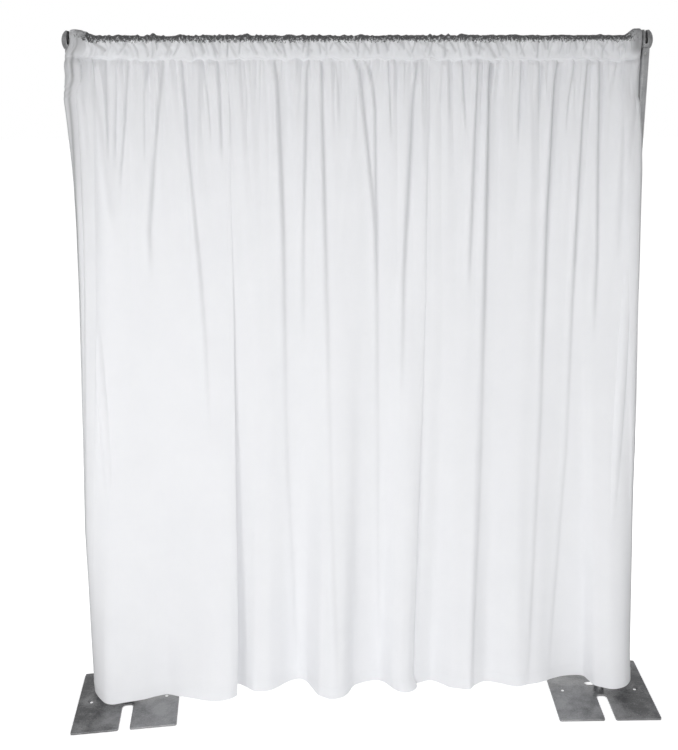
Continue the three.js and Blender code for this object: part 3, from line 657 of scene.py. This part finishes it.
# A panel's net of points, hem row first, with what its mesh and its stitches need
def panelSheet(panel):
    count = cloth["columns"] + 1
    u = np.linspace(0, 1, count)
    hem, hemHeight, hemLength = hemLine(panel, count)
    topFrom, topTo = (x * millimetre + spanMiddle for x in panel["top"])
    pocketX = topFrom + (topTo - topFrom) * u
    lines = topLines(panel, pocketX, topFrom, topTo)
    fallen, creaseShade = fallNet(panel, u, lines, hem, hemHeight, hemLength)
    ringed, hood, groove = pocketNet(panel, u, lines[0], pocketX, hemLength)
    gridX, gridY, gridZ = (np.vstack([low[::-1], high[1:]]) for low, high in zip(fallen, ringed))

    # The stitch line wanders a little and leans with the crossbar
    wander = np.random.default_rng(pocket["scallopSeed"]).normal(0, 1, pocket["scallops"])
    margin = pocket["scallopMargin"]
    places = np.linspace(leftAxis - margin, rightAxis + margin, len(wander))
    wander = np.interp(pocketX, places, wander) * pocket["scallop"]
    closeness = bell(gridZ - stitchHeight, pocket["scallopBand"]) * (gridY < pocket["frontPlies"])
    gridZ = gridZ + wander * closeness
    tilt = np.interp(spanShare(pocketX), (0, 1), cloth["stitchTilt"])
    gridZ = gridZ + tilt * bell(gridZ - stitchHeight, cloth["tiltBand"])

    # Painted shade: the pocket's crest is darkened where it faces up
    low, high = clothShade["crestShadeBand"]
    crestShade = smoothStep(gridZ, barHeight + low, barHeight + high) * (1 - clothShade["hoodCrestShadeLack"] * hood)
    # Painted shade: greyer in the creases, by the free edge and the neck, on the hoods and in the pocket's
    # grooves
    paintedShade = np.zeros_like(gridZ)
    paintedShade[:len(creaseShade)] = creaseShade[::-1]
    if panel["side"]:
        shadeMask, line, onHood = paintedShadeField(panel, gridX, gridZ, hood)
        paintedShade = np.maximum(np.maximum(paintedShade, shadeMask) + line, onHood)
    paintedShade[-len(groove) + 1:] = np.maximum(paintedShade[-len(groove) + 1:], groove[1:] * clothShade["grooveShade"])

    points = np.stack([gridX, gridY, gridZ], axis=2)
    shape = gridX.shape
    drop = lengthsTo(np.linalg.norm(np.diff(points, axis=0), axis=2).mean(axis=1))
    flat = np.stack([np.broadcast_to(u * hemLength, shape), np.broadcast_to(drop[:, None], shape)], axis=2)
    # Thicker where the hems are folded over
    thick = np.full(shape, cloth["ply"])
    fromSide = np.broadcast_to(np.minimum(u, 1 - u) * hemLength, shape)
    fromHem = gridZ - hemHeight
    for away, band, ply in ((fromHem, "hemBand", "hemPly"), (fromSide, "sideBand", "sidePly")):
        folded = 1 - smoothStep(away, cloth[band] - cloth["bandStep"], cloth[band])
        thick = np.maximum(thick, between(cloth["ply"], cloth[ply], folded))
    sizes = {"width": hemLength, "length": drop[-1], "seamRow": len(creaseShade) - 1}
    return points, flat, thick, {"crestShade": crestShade, "paintedShade": paintedShade}, sizes


def frontNormals(points):
    normal = np.cross(np.gradient(points, axis=1), np.gradient(points, axis=0))
    return normal / np.maximum(np.linalg.norm(normal, axis=2, keepdims=True), tiny)


# Gives a net of points its thickness, closes its four edges and lays the cut cloth out as UVs
def clothMesh(name, points, flat, thick, marks):
    rows, count, _ = points.shape
    half = frontNormals(points) * thick[..., None] / 2
    verts = np.vstack([(points + half).reshape(-1, 3), (points - half).reshape(-1, 3)])
    layer = rows * count
    r, c = np.meshgrid(np.arange(rows - 1), np.arange(count - 1), indexing="ij")
    a = (r * count + c).ravel()
    front = np.stack([a, a + 1, a + count + 1, a + count], axis=1)
    back = layer + front[:, ::-1]
    top = (rows - 1) * count
    i, j = np.arange(count - 1), np.arange(rows - 1) * count
    k = j + count - 1
    strips = [
        np.stack([i, layer + i, layer + i + 1, i + 1], axis=1),
        np.stack([top + i, top + i + 1, layer + top + i + 1, layer + top + i], axis=1),
        np.stack([j, j + count, layer + j + count, layer + j], axis=1),
        np.stack([k, layer + k, layer + k + count, k + count], axis=1),
    ]
    faces = np.vstack([front, back] + strips)
    mesh = bpy.data.meshes.new(name)
    mesh.vertices.add(len(verts))
    mesh.vertices.foreach_set("co", verts.astype(np.float32).ravel())
    mesh.loops.add(faces.size)
    mesh.loops.foreach_set("vertex_index", faces.astype(np.int32).ravel())
    mesh.polygons.add(len(faces))
    mesh.polygons.foreach_set("loop_start", np.arange(0, faces.size, 4, dtype=np.int32))
    mesh.polygons.foreach_set("loop_total", np.full(len(faces), 4, np.int32))
    mesh.polygons.foreach_set("use_smooth", np.ones(len(faces), bool))
    mesh.update(calc_edges=True)
    mesh.validate()
    uv = mesh.uv_layers.new(name="flat")
    flat2 = np.vstack([flat.reshape(-1, 2)] * 2)
    uv.data.foreach_set("uv", flat2[faces.ravel()].astype(np.float32).ravel())
    for key, values in marks.items():
        mark = mesh.attributes.new(key, "FLOAT", "POINT")
        mark.data.foreach_set("value", np.tile(values.ravel(), 2).astype(np.float32))
    return placed(name, mesh)


# Sewing: short stitches of thread along the pocket's seam, the bottom hem and both side hems

sewing = {
    "pitch": 0.0060,
    "length": 0.0046,
    "thread": 0.00038,        # the thread's radius
    # Along the stitch as a share of its length, then radius and lift in radii of the thread
    "rings": [(-0.5, 0.45, -0.7), (-0.3, 0.95, 0.3), (0.3, 0.95, 0.3), (0.5, 0.45, -0.7)],
    "sides": 5,
    "hemLine": 0.046,         # above the hem's edge
    "sideLine": 0.021,        # in from a side edge
}


def stitchesAlong(line, normal):
    along = lengthsTo(np.linalg.norm(np.diff(line, axis=0), axis=1))
    places = np.arange(sewing["pitch"], along[-1] - sewing["pitch"], sewing["pitch"])
    heading = np.gradient(line, axis=0)
    centre, out, ahead = (np.stack([np.interp(places, along, field[:, k]) for k in range(3)], axis=1)
                          for field in (line, normal, heading))
    ahead /= np.linalg.norm(ahead, axis=1, keepdims=True)
    out -= ahead * (out * ahead).sum(axis=1, keepdims=True)
    out /= np.linalg.norm(out, axis=1, keepdims=True)
    side = np.cross(ahead, out)
    turns = np.linspace(0, 2 * math.pi, sewing["sides"], endpoint=False)
    verts = []
    for share, radius, lift in sewing["rings"]:
        spot = centre + ahead * share * sewing["length"] + out * lift * sewing["thread"]
        for turn in turns:
            verts.append(spot + (out * math.cos(turn) + side * math.sin(turn)) * radius * sewing["thread"])
    return np.stack(verts, axis=1)


def stitchMesh(name, points, thick, sizes):
    normal = frontNormals(points)
    surface = points + normal * thick[..., None] / 2
    height = points[:sizes["seamRow"], points.shape[1] // 2, 2]
    hemRow = int(np.argmin(np.abs(height - height[0] - sewing["hemLine"])))
    sideColumn = int(round(sewing["sideLine"] / sizes["width"] * (points.shape[1] - 1)))
    rows = slice(0, sizes["seamRow"])
    lines = [(surface[sizes["seamRow"]], normal[sizes["seamRow"]]), (surface[hemRow], normal[hemRow])]
    lines += [(surface[rows, column], normal[rows, column]) for column in (sideColumn, -1 - sideColumn)]
    verts = np.concatenate([stitchesAlong(*line) for line in lines])
    sides, rings = sewing["sides"], len(sewing["rings"])
    one = [[r * sides + k, r * sides + (k + 1) % sides, (r + 1) * sides + (k + 1) % sides,
            (r + 1) * sides + k] for r in range(rings - 1) for k in range(sides)]
    caps = [list(range(sides))[::-1], [(rings - 1) * sides + k for k in range(sides)]]
    each = sides * rings
    faces = [[each * k + i for i in face] for k in range(len(verts)) for face in one + caps]
    mesh = bpy.data.meshes.new(name)
    mesh.from_pydata(verts.reshape(-1, 3).tolist(), [], faces)
    mesh.polygons.foreach_set("use_smooth", np.ones(len(faces), bool))
    mesh.update()
    return placed(name, mesh), len(verts)


# Materials

# Adds nodes to a tree. A link is written as (node, socket)
class Wiring:
    def __init__(self, tree):
        self.tree = tree
        tree.nodes.clear()

    def feed(self, node, sockets):
        for key, value in sockets.items():
            if isinstance(value, tuple) and isinstance(value[0], bpy.types.Node):
                self.tree.links.new(value[0].outputs[value[1]], node.inputs[key])
            else:
                node.inputs[key].default_value = value

    def add(self, kind, sockets, **settings):
        node = self.tree.nodes.new(kind)
        for key, value in settings.items():
            setattr(node, key, value)
        self.feed(node, sockets)
        return node

    def math(self, operation, *terms, clamp=False):
        terms = dict(enumerate(terms))
        return self.add("ShaderNodeMath", terms, operation=operation, use_clamp=clamp), "Value"

    # figures: scale, detail and roughness
    def noise(self, where, figures):
        sockets = dict(zip(("Vector", "Scale", "Detail", "Roughness"), (where, *figures)))
        return self.add("ShaderNodeTexNoise", sockets), "Fac"

    def stretched(self, where, scale, turn=(0, 0, 0)):
        return self.add("ShaderNodeMapping", {"Vector": where, "Scale": scale, "Rotation": turn}), "Vector"

    def wave(self, where, perMetre, distortion, direction):
        sockets = {"Vector": where, "Scale": perMetre / wavesAtScale, "Distortion": distortion}
        return self.add("ShaderNodeTexWave", sockets, bands_direction=direction, wave_profile="SIN"), "Fac"

    def remap(self, value, ends, results=(0, 1), **settings):
        sockets = dict(zip(("Value", "From Min", "From Max", "To Min", "To Max"), (value, *ends, *results)))
        return self.add("ShaderNodeMapRange", sockets, **settings), "Result"

    def ramp(self, source, places, colours):
        node = self.add("ShaderNodeValToRGB", {"Fac": source})
        bar = node.color_ramp
        while len(bar.elements) < len(places):
            bar.elements.new(0.5)
        for element, place, colour in zip(bar.elements, places, colours):
            element.position = place
            element.color = (*colour, 1)
        return node, "Color"

    def mix(self, share, first, second):
        return self.add("ShaderNodeMix", {0: share, 6: first, 7: second}, data_type="RGBA"), 2

    def bump(self, height, strength, distance, **others):
        sockets = {"Height": height, "Strength": strength, "Distance": distance, **others}
        return self.add("ShaderNodeBump", sockets), "Normal"


class Finish(Wiring):
    def __init__(self, name):
        self.material = bpy.data.materials.new(name)
        self.material.use_nodes = True
        super().__init__(self.material.node_tree)
        self.skin = self.add("ShaderNodeBsdfPrincipled", {})
        self.add("ShaderNodeOutputMaterial", {"Surface": (self.skin, "BSDF")})


wavesAtScale = 3.183          # a wave texture's waves to the metre at scale 1
black, white = (0, 0, 0), (1, 1, 1)

# Each noise is given as scale, detail and roughness, each bump as strength and height
whiteCloth = {
    "pale": (0.915, 0.921, 0.942),
    "dull": (0.892, 0.899, 0.922),
    "toneStops": (0.45, 0.85),
    # colour of the painted shade on the crest, then the grey of the painted shade elsewhere
    "crestShadeColour": (0.130, 0.131, 0.134),
    "shadeGrey": (0.300, 0.302, 0.308),
    "roughness": 0.82,
    "specular": 0.25,
    "sheen": 0.12,
    "sheenRoughness": 0.5,
    "cloud": (5.0, 4.0, 0.6),
    "slub": (1.0, 3.0, 0.55),
    "slubStretch": (420, 24, 1),
    "slubShare": 0.35,
    "threadsPerMetre": 900,
    "threadWander": 0.6,
    "weave": (0.5, 0.00012),
    "crumple": (55.0, 3.0, 0.5),
    "crumpleBump": (0.35, 0.0009),
    "crestShadeNoise": (90.0, 4.0, 0.85),
    "crestShadeRagged": 4.5,        # how much the noise moves the edge of the painted crest shade
    "crestShadeEnds": (2.6, 3.0),
    "crestShadeGate": 12,           # no painted crest shade where the cloth's mark carries none
}


def clothFinish(look):
    f = Finish("white_cloth")
    flat = f.add("ShaderNodeUVMap", {}, uv_map="flat"), "UV"
    # Cloudy colour and slubs that run with the threads
    slub = f.noise(f.stretched(flat, look["slubStretch"]), look["slub"])
    tone = f.math("MULTIPLY_ADD", slub, look["slubShare"], f.noise(flat, look["cloud"]))
    tint = f.ramp(tone, look["toneStops"], (look["dull"], look["pale"]))
    # Painted shade: a greyer cast at the free edges, the necks and the hoods, and in the creases and grooves
    shadeMask = f.add("ShaderNodeAttribute", {}, attribute_name="paintedShade"), "Fac"
    shadeGrey = f.mix(shadeMask, tint, (*look["shadeGrey"], 1))
    # Painted shade along the pocket's crest, ragged where it ends
    laid = f.add("ShaderNodeAttribute", {}, attribute_name="crestShade"), "Fac"
    reach = f.math("MULTIPLY_ADD", f.noise(flat, look["crestShadeNoise"]), look["crestShadeRagged"], laid)
    near = f.math("MULTIPLY", laid, look["crestShadeGate"], clamp=True)
    crestShade = f.math("MULTIPLY", f.remap(reach, look["crestShadeEnds"]), near)
    # Plain weave: two crossed waves, over a soft crumple
    threads = [f.wave(flat, look["threadsPerMetre"], look["threadWander"], way) for way in "XY"]
    crumple = f.bump(f.noise(flat, look["crumple"]), *look["crumpleBump"])
    f.feed(f.skin, {
        "Base Color": f.mix(crestShade, shadeGrey, (*look["crestShadeColour"], 1)),
        "Roughness": look["roughness"],
        "Specular IOR Level": look["specular"],
        "Sheen Weight": look["sheen"],
        "Sheen Roughness": look["sheenRoughness"],
        "Normal": f.bump(f.math("MAXIMUM", *threads), *look["weave"], Normal=crumple),
    })
    return f.material


sewingThread = {
    "pale": (0.900, 0.905, 0.925),
    "dull": (0.800, 0.806, 0.828),
    "toneStops": (0.1, 0.7),
    "twistsPerMetre": 1400,
    "twistWander": 0.8,
    "twist": (0.4, 0.00006),
    "roughness": 0.55,
    "sheen": 0.1,
}


def threadFinish(look):
    f = Finish("sewing_thread")
    place = f.add("ShaderNodeTexCoord", {}), "Object"
    twist = f.wave(place, look["twistsPerMetre"], look["twistWander"], "DIAGONAL")
    f.feed(f.skin, {
        "Base Color": f.ramp(twist, look["toneStops"], (look["dull"], look["pale"])),
        "Roughness": look["roughness"],
        "Sheen Weight": look["sheen"],
        "Normal": f.bump(twist, *look["twist"]),
    })
    return f.material


# Metals and nylon: colours, roughness, the grain's stretch, and the wear and painted highlight on their edges
hardLooks = {
    # the plates carry a painted reflection in their inner halves and painted shade in their outer halves
    "plate_steel": {"dark": (0.085, 0.086, 0.089), "light": (0.350, 0.352, 0.357), "metallic": 0.75,
                    "paintedShadeSpan": (0.84, 1.02), "paintedShadeShift": (0.13, -0.17),
                    "roughness": (0.34, 0.56), "grain": (60, 60, 60), "patches": 9.0,
                    "edge": (0.52, 0.52, 0.53), "edgeWidth": 0.0022, "scratches": 0.5},
    "pin_steel": {"dark": (0.20, 0.20, 0.205), "light": (0.36, 0.36, 0.365), "metallic": 0.85,
                  "roughness": (0.28, 0.46), "grain": (90, 90, 14), "patches": 24.0, "edge": (0.6, 0.6, 0.6),
                  "edgeWidth": 0.0015, "scratches": 0.4},
    "upright_aluminium": {"dark": (0.17, 0.172, 0.176), "light": (0.33, 0.334, 0.34), "metallic": 0.9,
                          "roughness": (0.26, 0.4), "grain": (160, 160, 3), "patches": 12.0,
                          "edge": (0.66, 0.66, 0.66), "edgeWidth": 0.002, "scratches": 0.3},
    "head_casting": {"dark": (0.085, 0.086, 0.089), "light": (0.27, 0.272, 0.276), "metallic": 0.8,
                     "roughness": (0.36, 0.58), "grain": (240, 240, 240), "patches": 55.0,
                     "edge": (0.62, 0.62, 0.625), "edgeWidth": 0.0018, "scratches": 0.25},
    "crossbar_tube": {"dark": (0.30, 0.305, 0.31), "light": (0.46, 0.465, 0.47), "metallic": 0.9,
                      "roughness": (0.28, 0.42), "grain": (3, 160, 160), "patches": 12.0,
                      "edge": (0.62, 0.62, 0.62), "edgeWidth": 0.0015, "scratches": 0.35},
    "hook_steel": {"dark": (0.26, 0.262, 0.266), "light": (0.46, 0.463, 0.468), "metallic": 0.88,
                   "roughness": (0.28, 0.45), "grain": (120, 120, 120), "patches": 60.0,
                   "edge": (0.66, 0.66, 0.66), "edgeWidth": 0.0012, "scratches": 0.35},
    "zinc_fastener": {"dark": (0.24, 0.24, 0.23), "light": (0.42, 0.42, 0.40), "metallic": 0.9,
                      "roughness": (0.25, 0.4), "grain": (200, 200, 200), "patches": 120.0,
                      "edge": (0.72, 0.72, 0.7), "edgeWidth": 0.0008, "scratches": 0.2},
    "black_nylon": {"dark": (0.022, 0.022, 0.024), "light": (0.042, 0.042, 0.045), "metallic": 0.0,
                    "roughness": (0.42, 0.6), "grain": (300, 300, 300), "patches": 70.0,
                    "edge": (0.085, 0.085, 0.088), "edgeWidth": 0.001, "scratches": 0.15},
}
# What all of them share
hardWear = {
    "patches": (5.0, 0.62),   # detail and roughness
    "grain": (4.0, 4.0, 0.6),
    "grainShare": 0.45,
    "grainBump": (0.25, 0.0002),
    "toneStops": (0.5, 0.95),
    "roughStops": (0.45, 1.0),
    "scratchStretch": (9, 150, 40),
    "scratchTurn": (0.3, 0.2, 0.6),
    "scratches": (1.0, 2.0, 0.5),
    "scratchStops": (0.495, 0.502, 0.509),  # thin lines where the stretched noise crosses its middle
    "brightEdgeStops": (0.80, 0.97),
    "bevelSamples": 6,
}


def hardFinish(name, look):
    f = Finish(name)
    place = f.add("ShaderNodeTexCoord", {}), "Object"
    grain = f.noise(f.stretched(place, look["grain"]), hardWear["grain"])
    patches = f.noise(place, (look["patches"], *hardWear["patches"]))
    mix = f.math("MULTIPLY_ADD", grain, hardWear["grainShare"], patches)
    toned = mix
    if "paintedShadeSpan" in look:
        # Painted reflection and shade: the plates are lighter towards their inner halves and darker towards
        # their outer halves
        across = f.add("ShaderNodeSeparateXYZ", {0: place}), "X"
        paintedShadeShift = f.remap(f.math("ABSOLUTE", across), look["paintedShadeSpan"], look["paintedShadeShift"],
                          interpolation_type="SMOOTHSTEP")
        toned = f.math("ADD", mix, paintedShadeShift)
    body = f.ramp(toned, hardWear["toneStops"], (look["dark"], look["light"]))
    scored = f.stretched(place, hardWear["scratchStretch"], hardWear["scratchTurn"])
    scratch = f.ramp(f.noise(scored, hardWear["scratches"]), hardWear["scratchStops"], (black, white, black))
    # Edges painted bright: rubbed wear together with a painted edge highlight
    samples = hardWear["bevelSamples"]
    bevel = f.add("ShaderNodeBevel", {"Radius": look["edgeWidth"]}, samples=samples), "Normal"
    shape = f.add("ShaderNodeNewGeometry", {}), "Normal"
    turn = f.add("ShaderNodeVectorMath", {0: bevel, 1: shape}, operation="DOT_PRODUCT"), "Value"
    brightEdge = f.ramp(turn, hardWear["brightEdgeStops"], (white, black))
    brightEdgesAndScratches = f.math("MAXIMUM", f.math("MULTIPLY", brightEdge, mix), f.math("MULTIPLY", scratch, look["scratches"]))
    f.feed(f.skin, {
        "Base Color": f.mix(brightEdgesAndScratches, body, (*look["edge"], 1)),
        "Metallic": look["metallic"],
        "Roughness": f.remap(mix, hardWear["roughStops"], look["roughness"]),
        "Normal": f.bump(grain, *hardWear["grainBump"], Normal=bevel),
    })
    return f.material


# Smooth shading over the facets of round parts, with their real edges kept sharp
facetShading = {"weld": 0.000002, "sharpFrom": 28}  # metres, degrees


def smoothFacets():
    group = bpy.data.node_groups.new("smooth_facets", "GeometryNodeTree")
    for way in ("INPUT", "OUTPUT"):
        group.interface.new_socket("Geometry", in_out=way, socket_type="NodeSocketGeometry")
    g = Wiring(group)
    source = g.add("NodeGroupInput", {}), 0
    plain = g.add("GeometryNodeRemoveAttribute", {"Geometry": source, "Name": "custom_normal"}), 0
    weld = g.add("GeometryNodeMergeByDistance", {"Geometry": plain, "Distance": facetShading["weld"]}), 0
    smooth = g.add("GeometryNodeSetShadeSmooth", {"Geometry": weld}), 0
    angle = g.add("GeometryNodeInputMeshEdgeAngle", {}), "Unsigned Angle"
    steep = g.add("FunctionNodeCompare", {0: angle, 1: math.radians(facetShading["sharpFrom"])},
                  operation="GREATER_THAN"), "Result"
    edges = {"Geometry": smooth, "Selection": steep, "Shade Smooth": False}
    sharp = g.add("GeometryNodeSetShadeSmooth", edges, domain="EDGE"), 0
    g.add("NodeGroupOutput", {0: sharp})
    return group


facets = smoothFacets()
hardMaterials = {name: hardFinish(name, look) for name, look in hardLooks.items()}
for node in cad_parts.values():
    slotName = node.data.materials[0].name.split(".")[0] if node.data.materials else ""
    if slotName in hardMaterials:
        node.material_slots[0].material = hardMaterials[slotName]
        node.modifiers.new("smooth facets", "NODES").node_group = facets
print("hard parts finished")

clothMaterial = clothFinish(whiteCloth)
threadMaterial = threadFinish(sewingThread)
for panel in (leftPanel, middlePanel, rightPanel):
    points, flat, thick, marks, sizes = panelSheet(panel)
    sheet = clothMesh(panel["name"], points, flat, thick, marks)
    sheet.data.materials.append(clothMaterial)
    stitches, stitchCount = stitchMesh(panel["stitches"], points, thick, sizes)
    stitches.data.materials.append(threadMaterial)
    for piece in (sheet, stitches):
        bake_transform(piece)
    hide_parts(panel["node"])


# Floor, background, light

room = {
    "floorColour": (0.80, 0.80, 0.80, 1),
    "floorRoughness": 0.9,
    "floorSpecular": 0.1,
    "floorGlow": 0.92,
    "floorReach": 60,
    "floorLevel": -0.0004,
    "contactShade": 0.018,    # how far the floor's glow is dimmed round what stands on it, as a painted contact shadow
    "contactSamples": 8,
    "skyFront": 1.39,         # a broad soft light from the front
    "skyToward": (-0.05, -0.999, 0),
    "skyEdge": (-0.36, 0.02),  # its soft edge, as how far the sky looks that way: none, full
    "skyTop": (0.62, 0.05),   # and by height: dark above the first
    "skyAll": 0.10,
    "spotPlace": (0.05, -3.6, 0.9),
    "spotAim": (0, 0, -0.6),
    "spotAngle": 102,         # degrees; its soft rim falls across the top of the cloth
    "spotBlend": 0.35,
    "spotRadius": 0.4,
    "spotPower": 163,
    "keyPlace": (-2.2, -2.0, 1.5),
    "keyAim": (-0.3, 0, 1.9),
    "keySize": (0.8, 0.8),
    "keyPower": 12,
    "backPlace": (0.3, 3.4, 1.0),
    "backAim": (0, 0, 1.2),
    "backSize": (3.4, 1.8),
    "backPower": 84,
}


def seenDirectly(w):
    rays = w.add("ShaderNodeLightPath", {})
    seen = rays, "Is Camera Ray"
    for kind in ("Is Glossy Ray", "Is Transmission Ray"):
        seen = w.math("MAXIMUM", seen, (rays, kind))
    return seen


def buildFloor():
    mesh = bpy.data.meshes.new("floor")
    corners = [(x * room["floorReach"], y * room["floorReach"], room["floorLevel"])
               for x, y in ((-1, -1), (1, -1), (1, 1), (-1, 1))]
    mesh.from_pydata(corners, [], [(0, 1, 2, 3)])
    floor = placed("floor", mesh)
    f = Finish("pale_floor")
    glow = f.math("MULTIPLY", seenDirectly(f), room["floorGlow"])
    # Painted contact shadow: ambient occlusion dims the floor's glow round what stands on it
    contactShadow = f.add("ShaderNodeAmbientOcclusion", {"Distance": room["contactShade"]},
                  samples=room["contactSamples"]), "AO"
    f.feed(f.skin, {
        "Base Color": room["floorColour"],
        "Roughness": room["floorRoughness"],
        "Specular IOR Level": room["floorSpecular"],
        "Emission Color": (*white, 1),
        "Emission Strength": f.math("MULTIPLY", glow, contactShadow),
    })
    mesh.materials.append(f.material)


def buildWorld():
    world = bpy.data.worlds.new("studio")
    bpy.context.scene.world = world
    world.use_nodes = True
    w = Wiring(world.node_tree)
    place = w.add("ShaderNodeTexCoord", {}), "Generated"
    toward = w.add("ShaderNodeVectorMath", {0: place, 1: room["skyToward"]}, operation="DOT_PRODUCT"), "Value"
    up = w.add("ShaderNodeSeparateXYZ", {0: place}), "Z"
    fades = [w.remap(value, room[ends], interpolation_type="SMOOTHSTEP")
             for value, ends in ((toward, "skyEdge"), (up, "skyTop"))]
    level = w.math("MULTIPLY_ADD", w.math("MULTIPLY", *fades), room["skyFront"], room["skyAll"])
    dim, plain = ((w.add("ShaderNodeBackground", {"Strength": strength, "Color": (*white, 1)}), 0)
                  for strength in (level, 1))
    shown = w.add("ShaderNodeMixShader", {0: seenDirectly(w), 1: dim, 2: plain}), 0
    w.add("ShaderNodeOutputWorld", {"Surface": shown})


def lamp(name, kind):
    data = bpy.data.lights.new(name, kind)
    if kind == "AREA":
        data.shape = "RECTANGLE"
        data.size, data.size_y = room[name + "Size"]
    else:
        data.spot_size = math.radians(room[name + "Angle"])
        data.spot_blend = room[name + "Blend"]
        data.shadow_soft_size = room[name + "Radius"]
    data.energy = room[name + "Power"]
    holder = placed(name, data)
    holder.location = room[name + "Place"]
    aim = Vector(room[name + "Aim"]) - Vector(room[name + "Place"])
    holder.rotation_mode = "QUATERNION"
    holder.rotation_quaternion = aim.to_track_quat("-Z", "Y")
    holder.visible_glossy = name != "back"  # its glare would whiten the plates


buildFloor()
buildWorld()
lamp("spot", "SPOT")
lamp("key", "AREA")
lamp("back", "AREA")
print("floor, background and lamps built")


# Camera

shot = {
    "place": (-0.0124, -3.175, 2.216),
    "yaw": 1.52,              # degrees to the right of straight ahead
    "pitch": 16.14,           # degrees down
    "roll": -0.2,
    "lens": 45.12,
    "sensor": 36,
    "shiftX": -0.055,
    "clip": (0.05, 60),
}


def buildCamera():
    yaw, pitch, roll = (math.radians(shot[k]) for k in ("yaw", "pitch", "roll"))
    ahead = Vector((math.sin(yaw) * math.cos(pitch), math.cos(yaw) * math.cos(pitch), -math.sin(pitch)))
    right = Vector((math.cos(yaw), -math.sin(yaw), 0))
    up = right.cross(ahead)
    rolledRight = right * math.cos(roll) + up * math.sin(roll)
    rolledUp = up * math.cos(roll) - right * math.sin(roll)
    data = bpy.data.cameras.new("camera")
    data.lens = shot["lens"]
    data.sensor_width = shot["sensor"]
    data.shift_x = shot["shiftX"]
    data.clip_start, data.clip_end = shot["clip"]
    camera = placed("camera", data)
    turn = Matrix((rolledRight, rolledUp, -ahead)).transposed()
    camera.matrix_world = Matrix.Translation(shot["place"]) @ turn.to_4x4()
    bpy.context.scene.camera = camera


buildCamera()
bpy.context.scene.view_settings.view_transform = "Standard"
print("camera set")
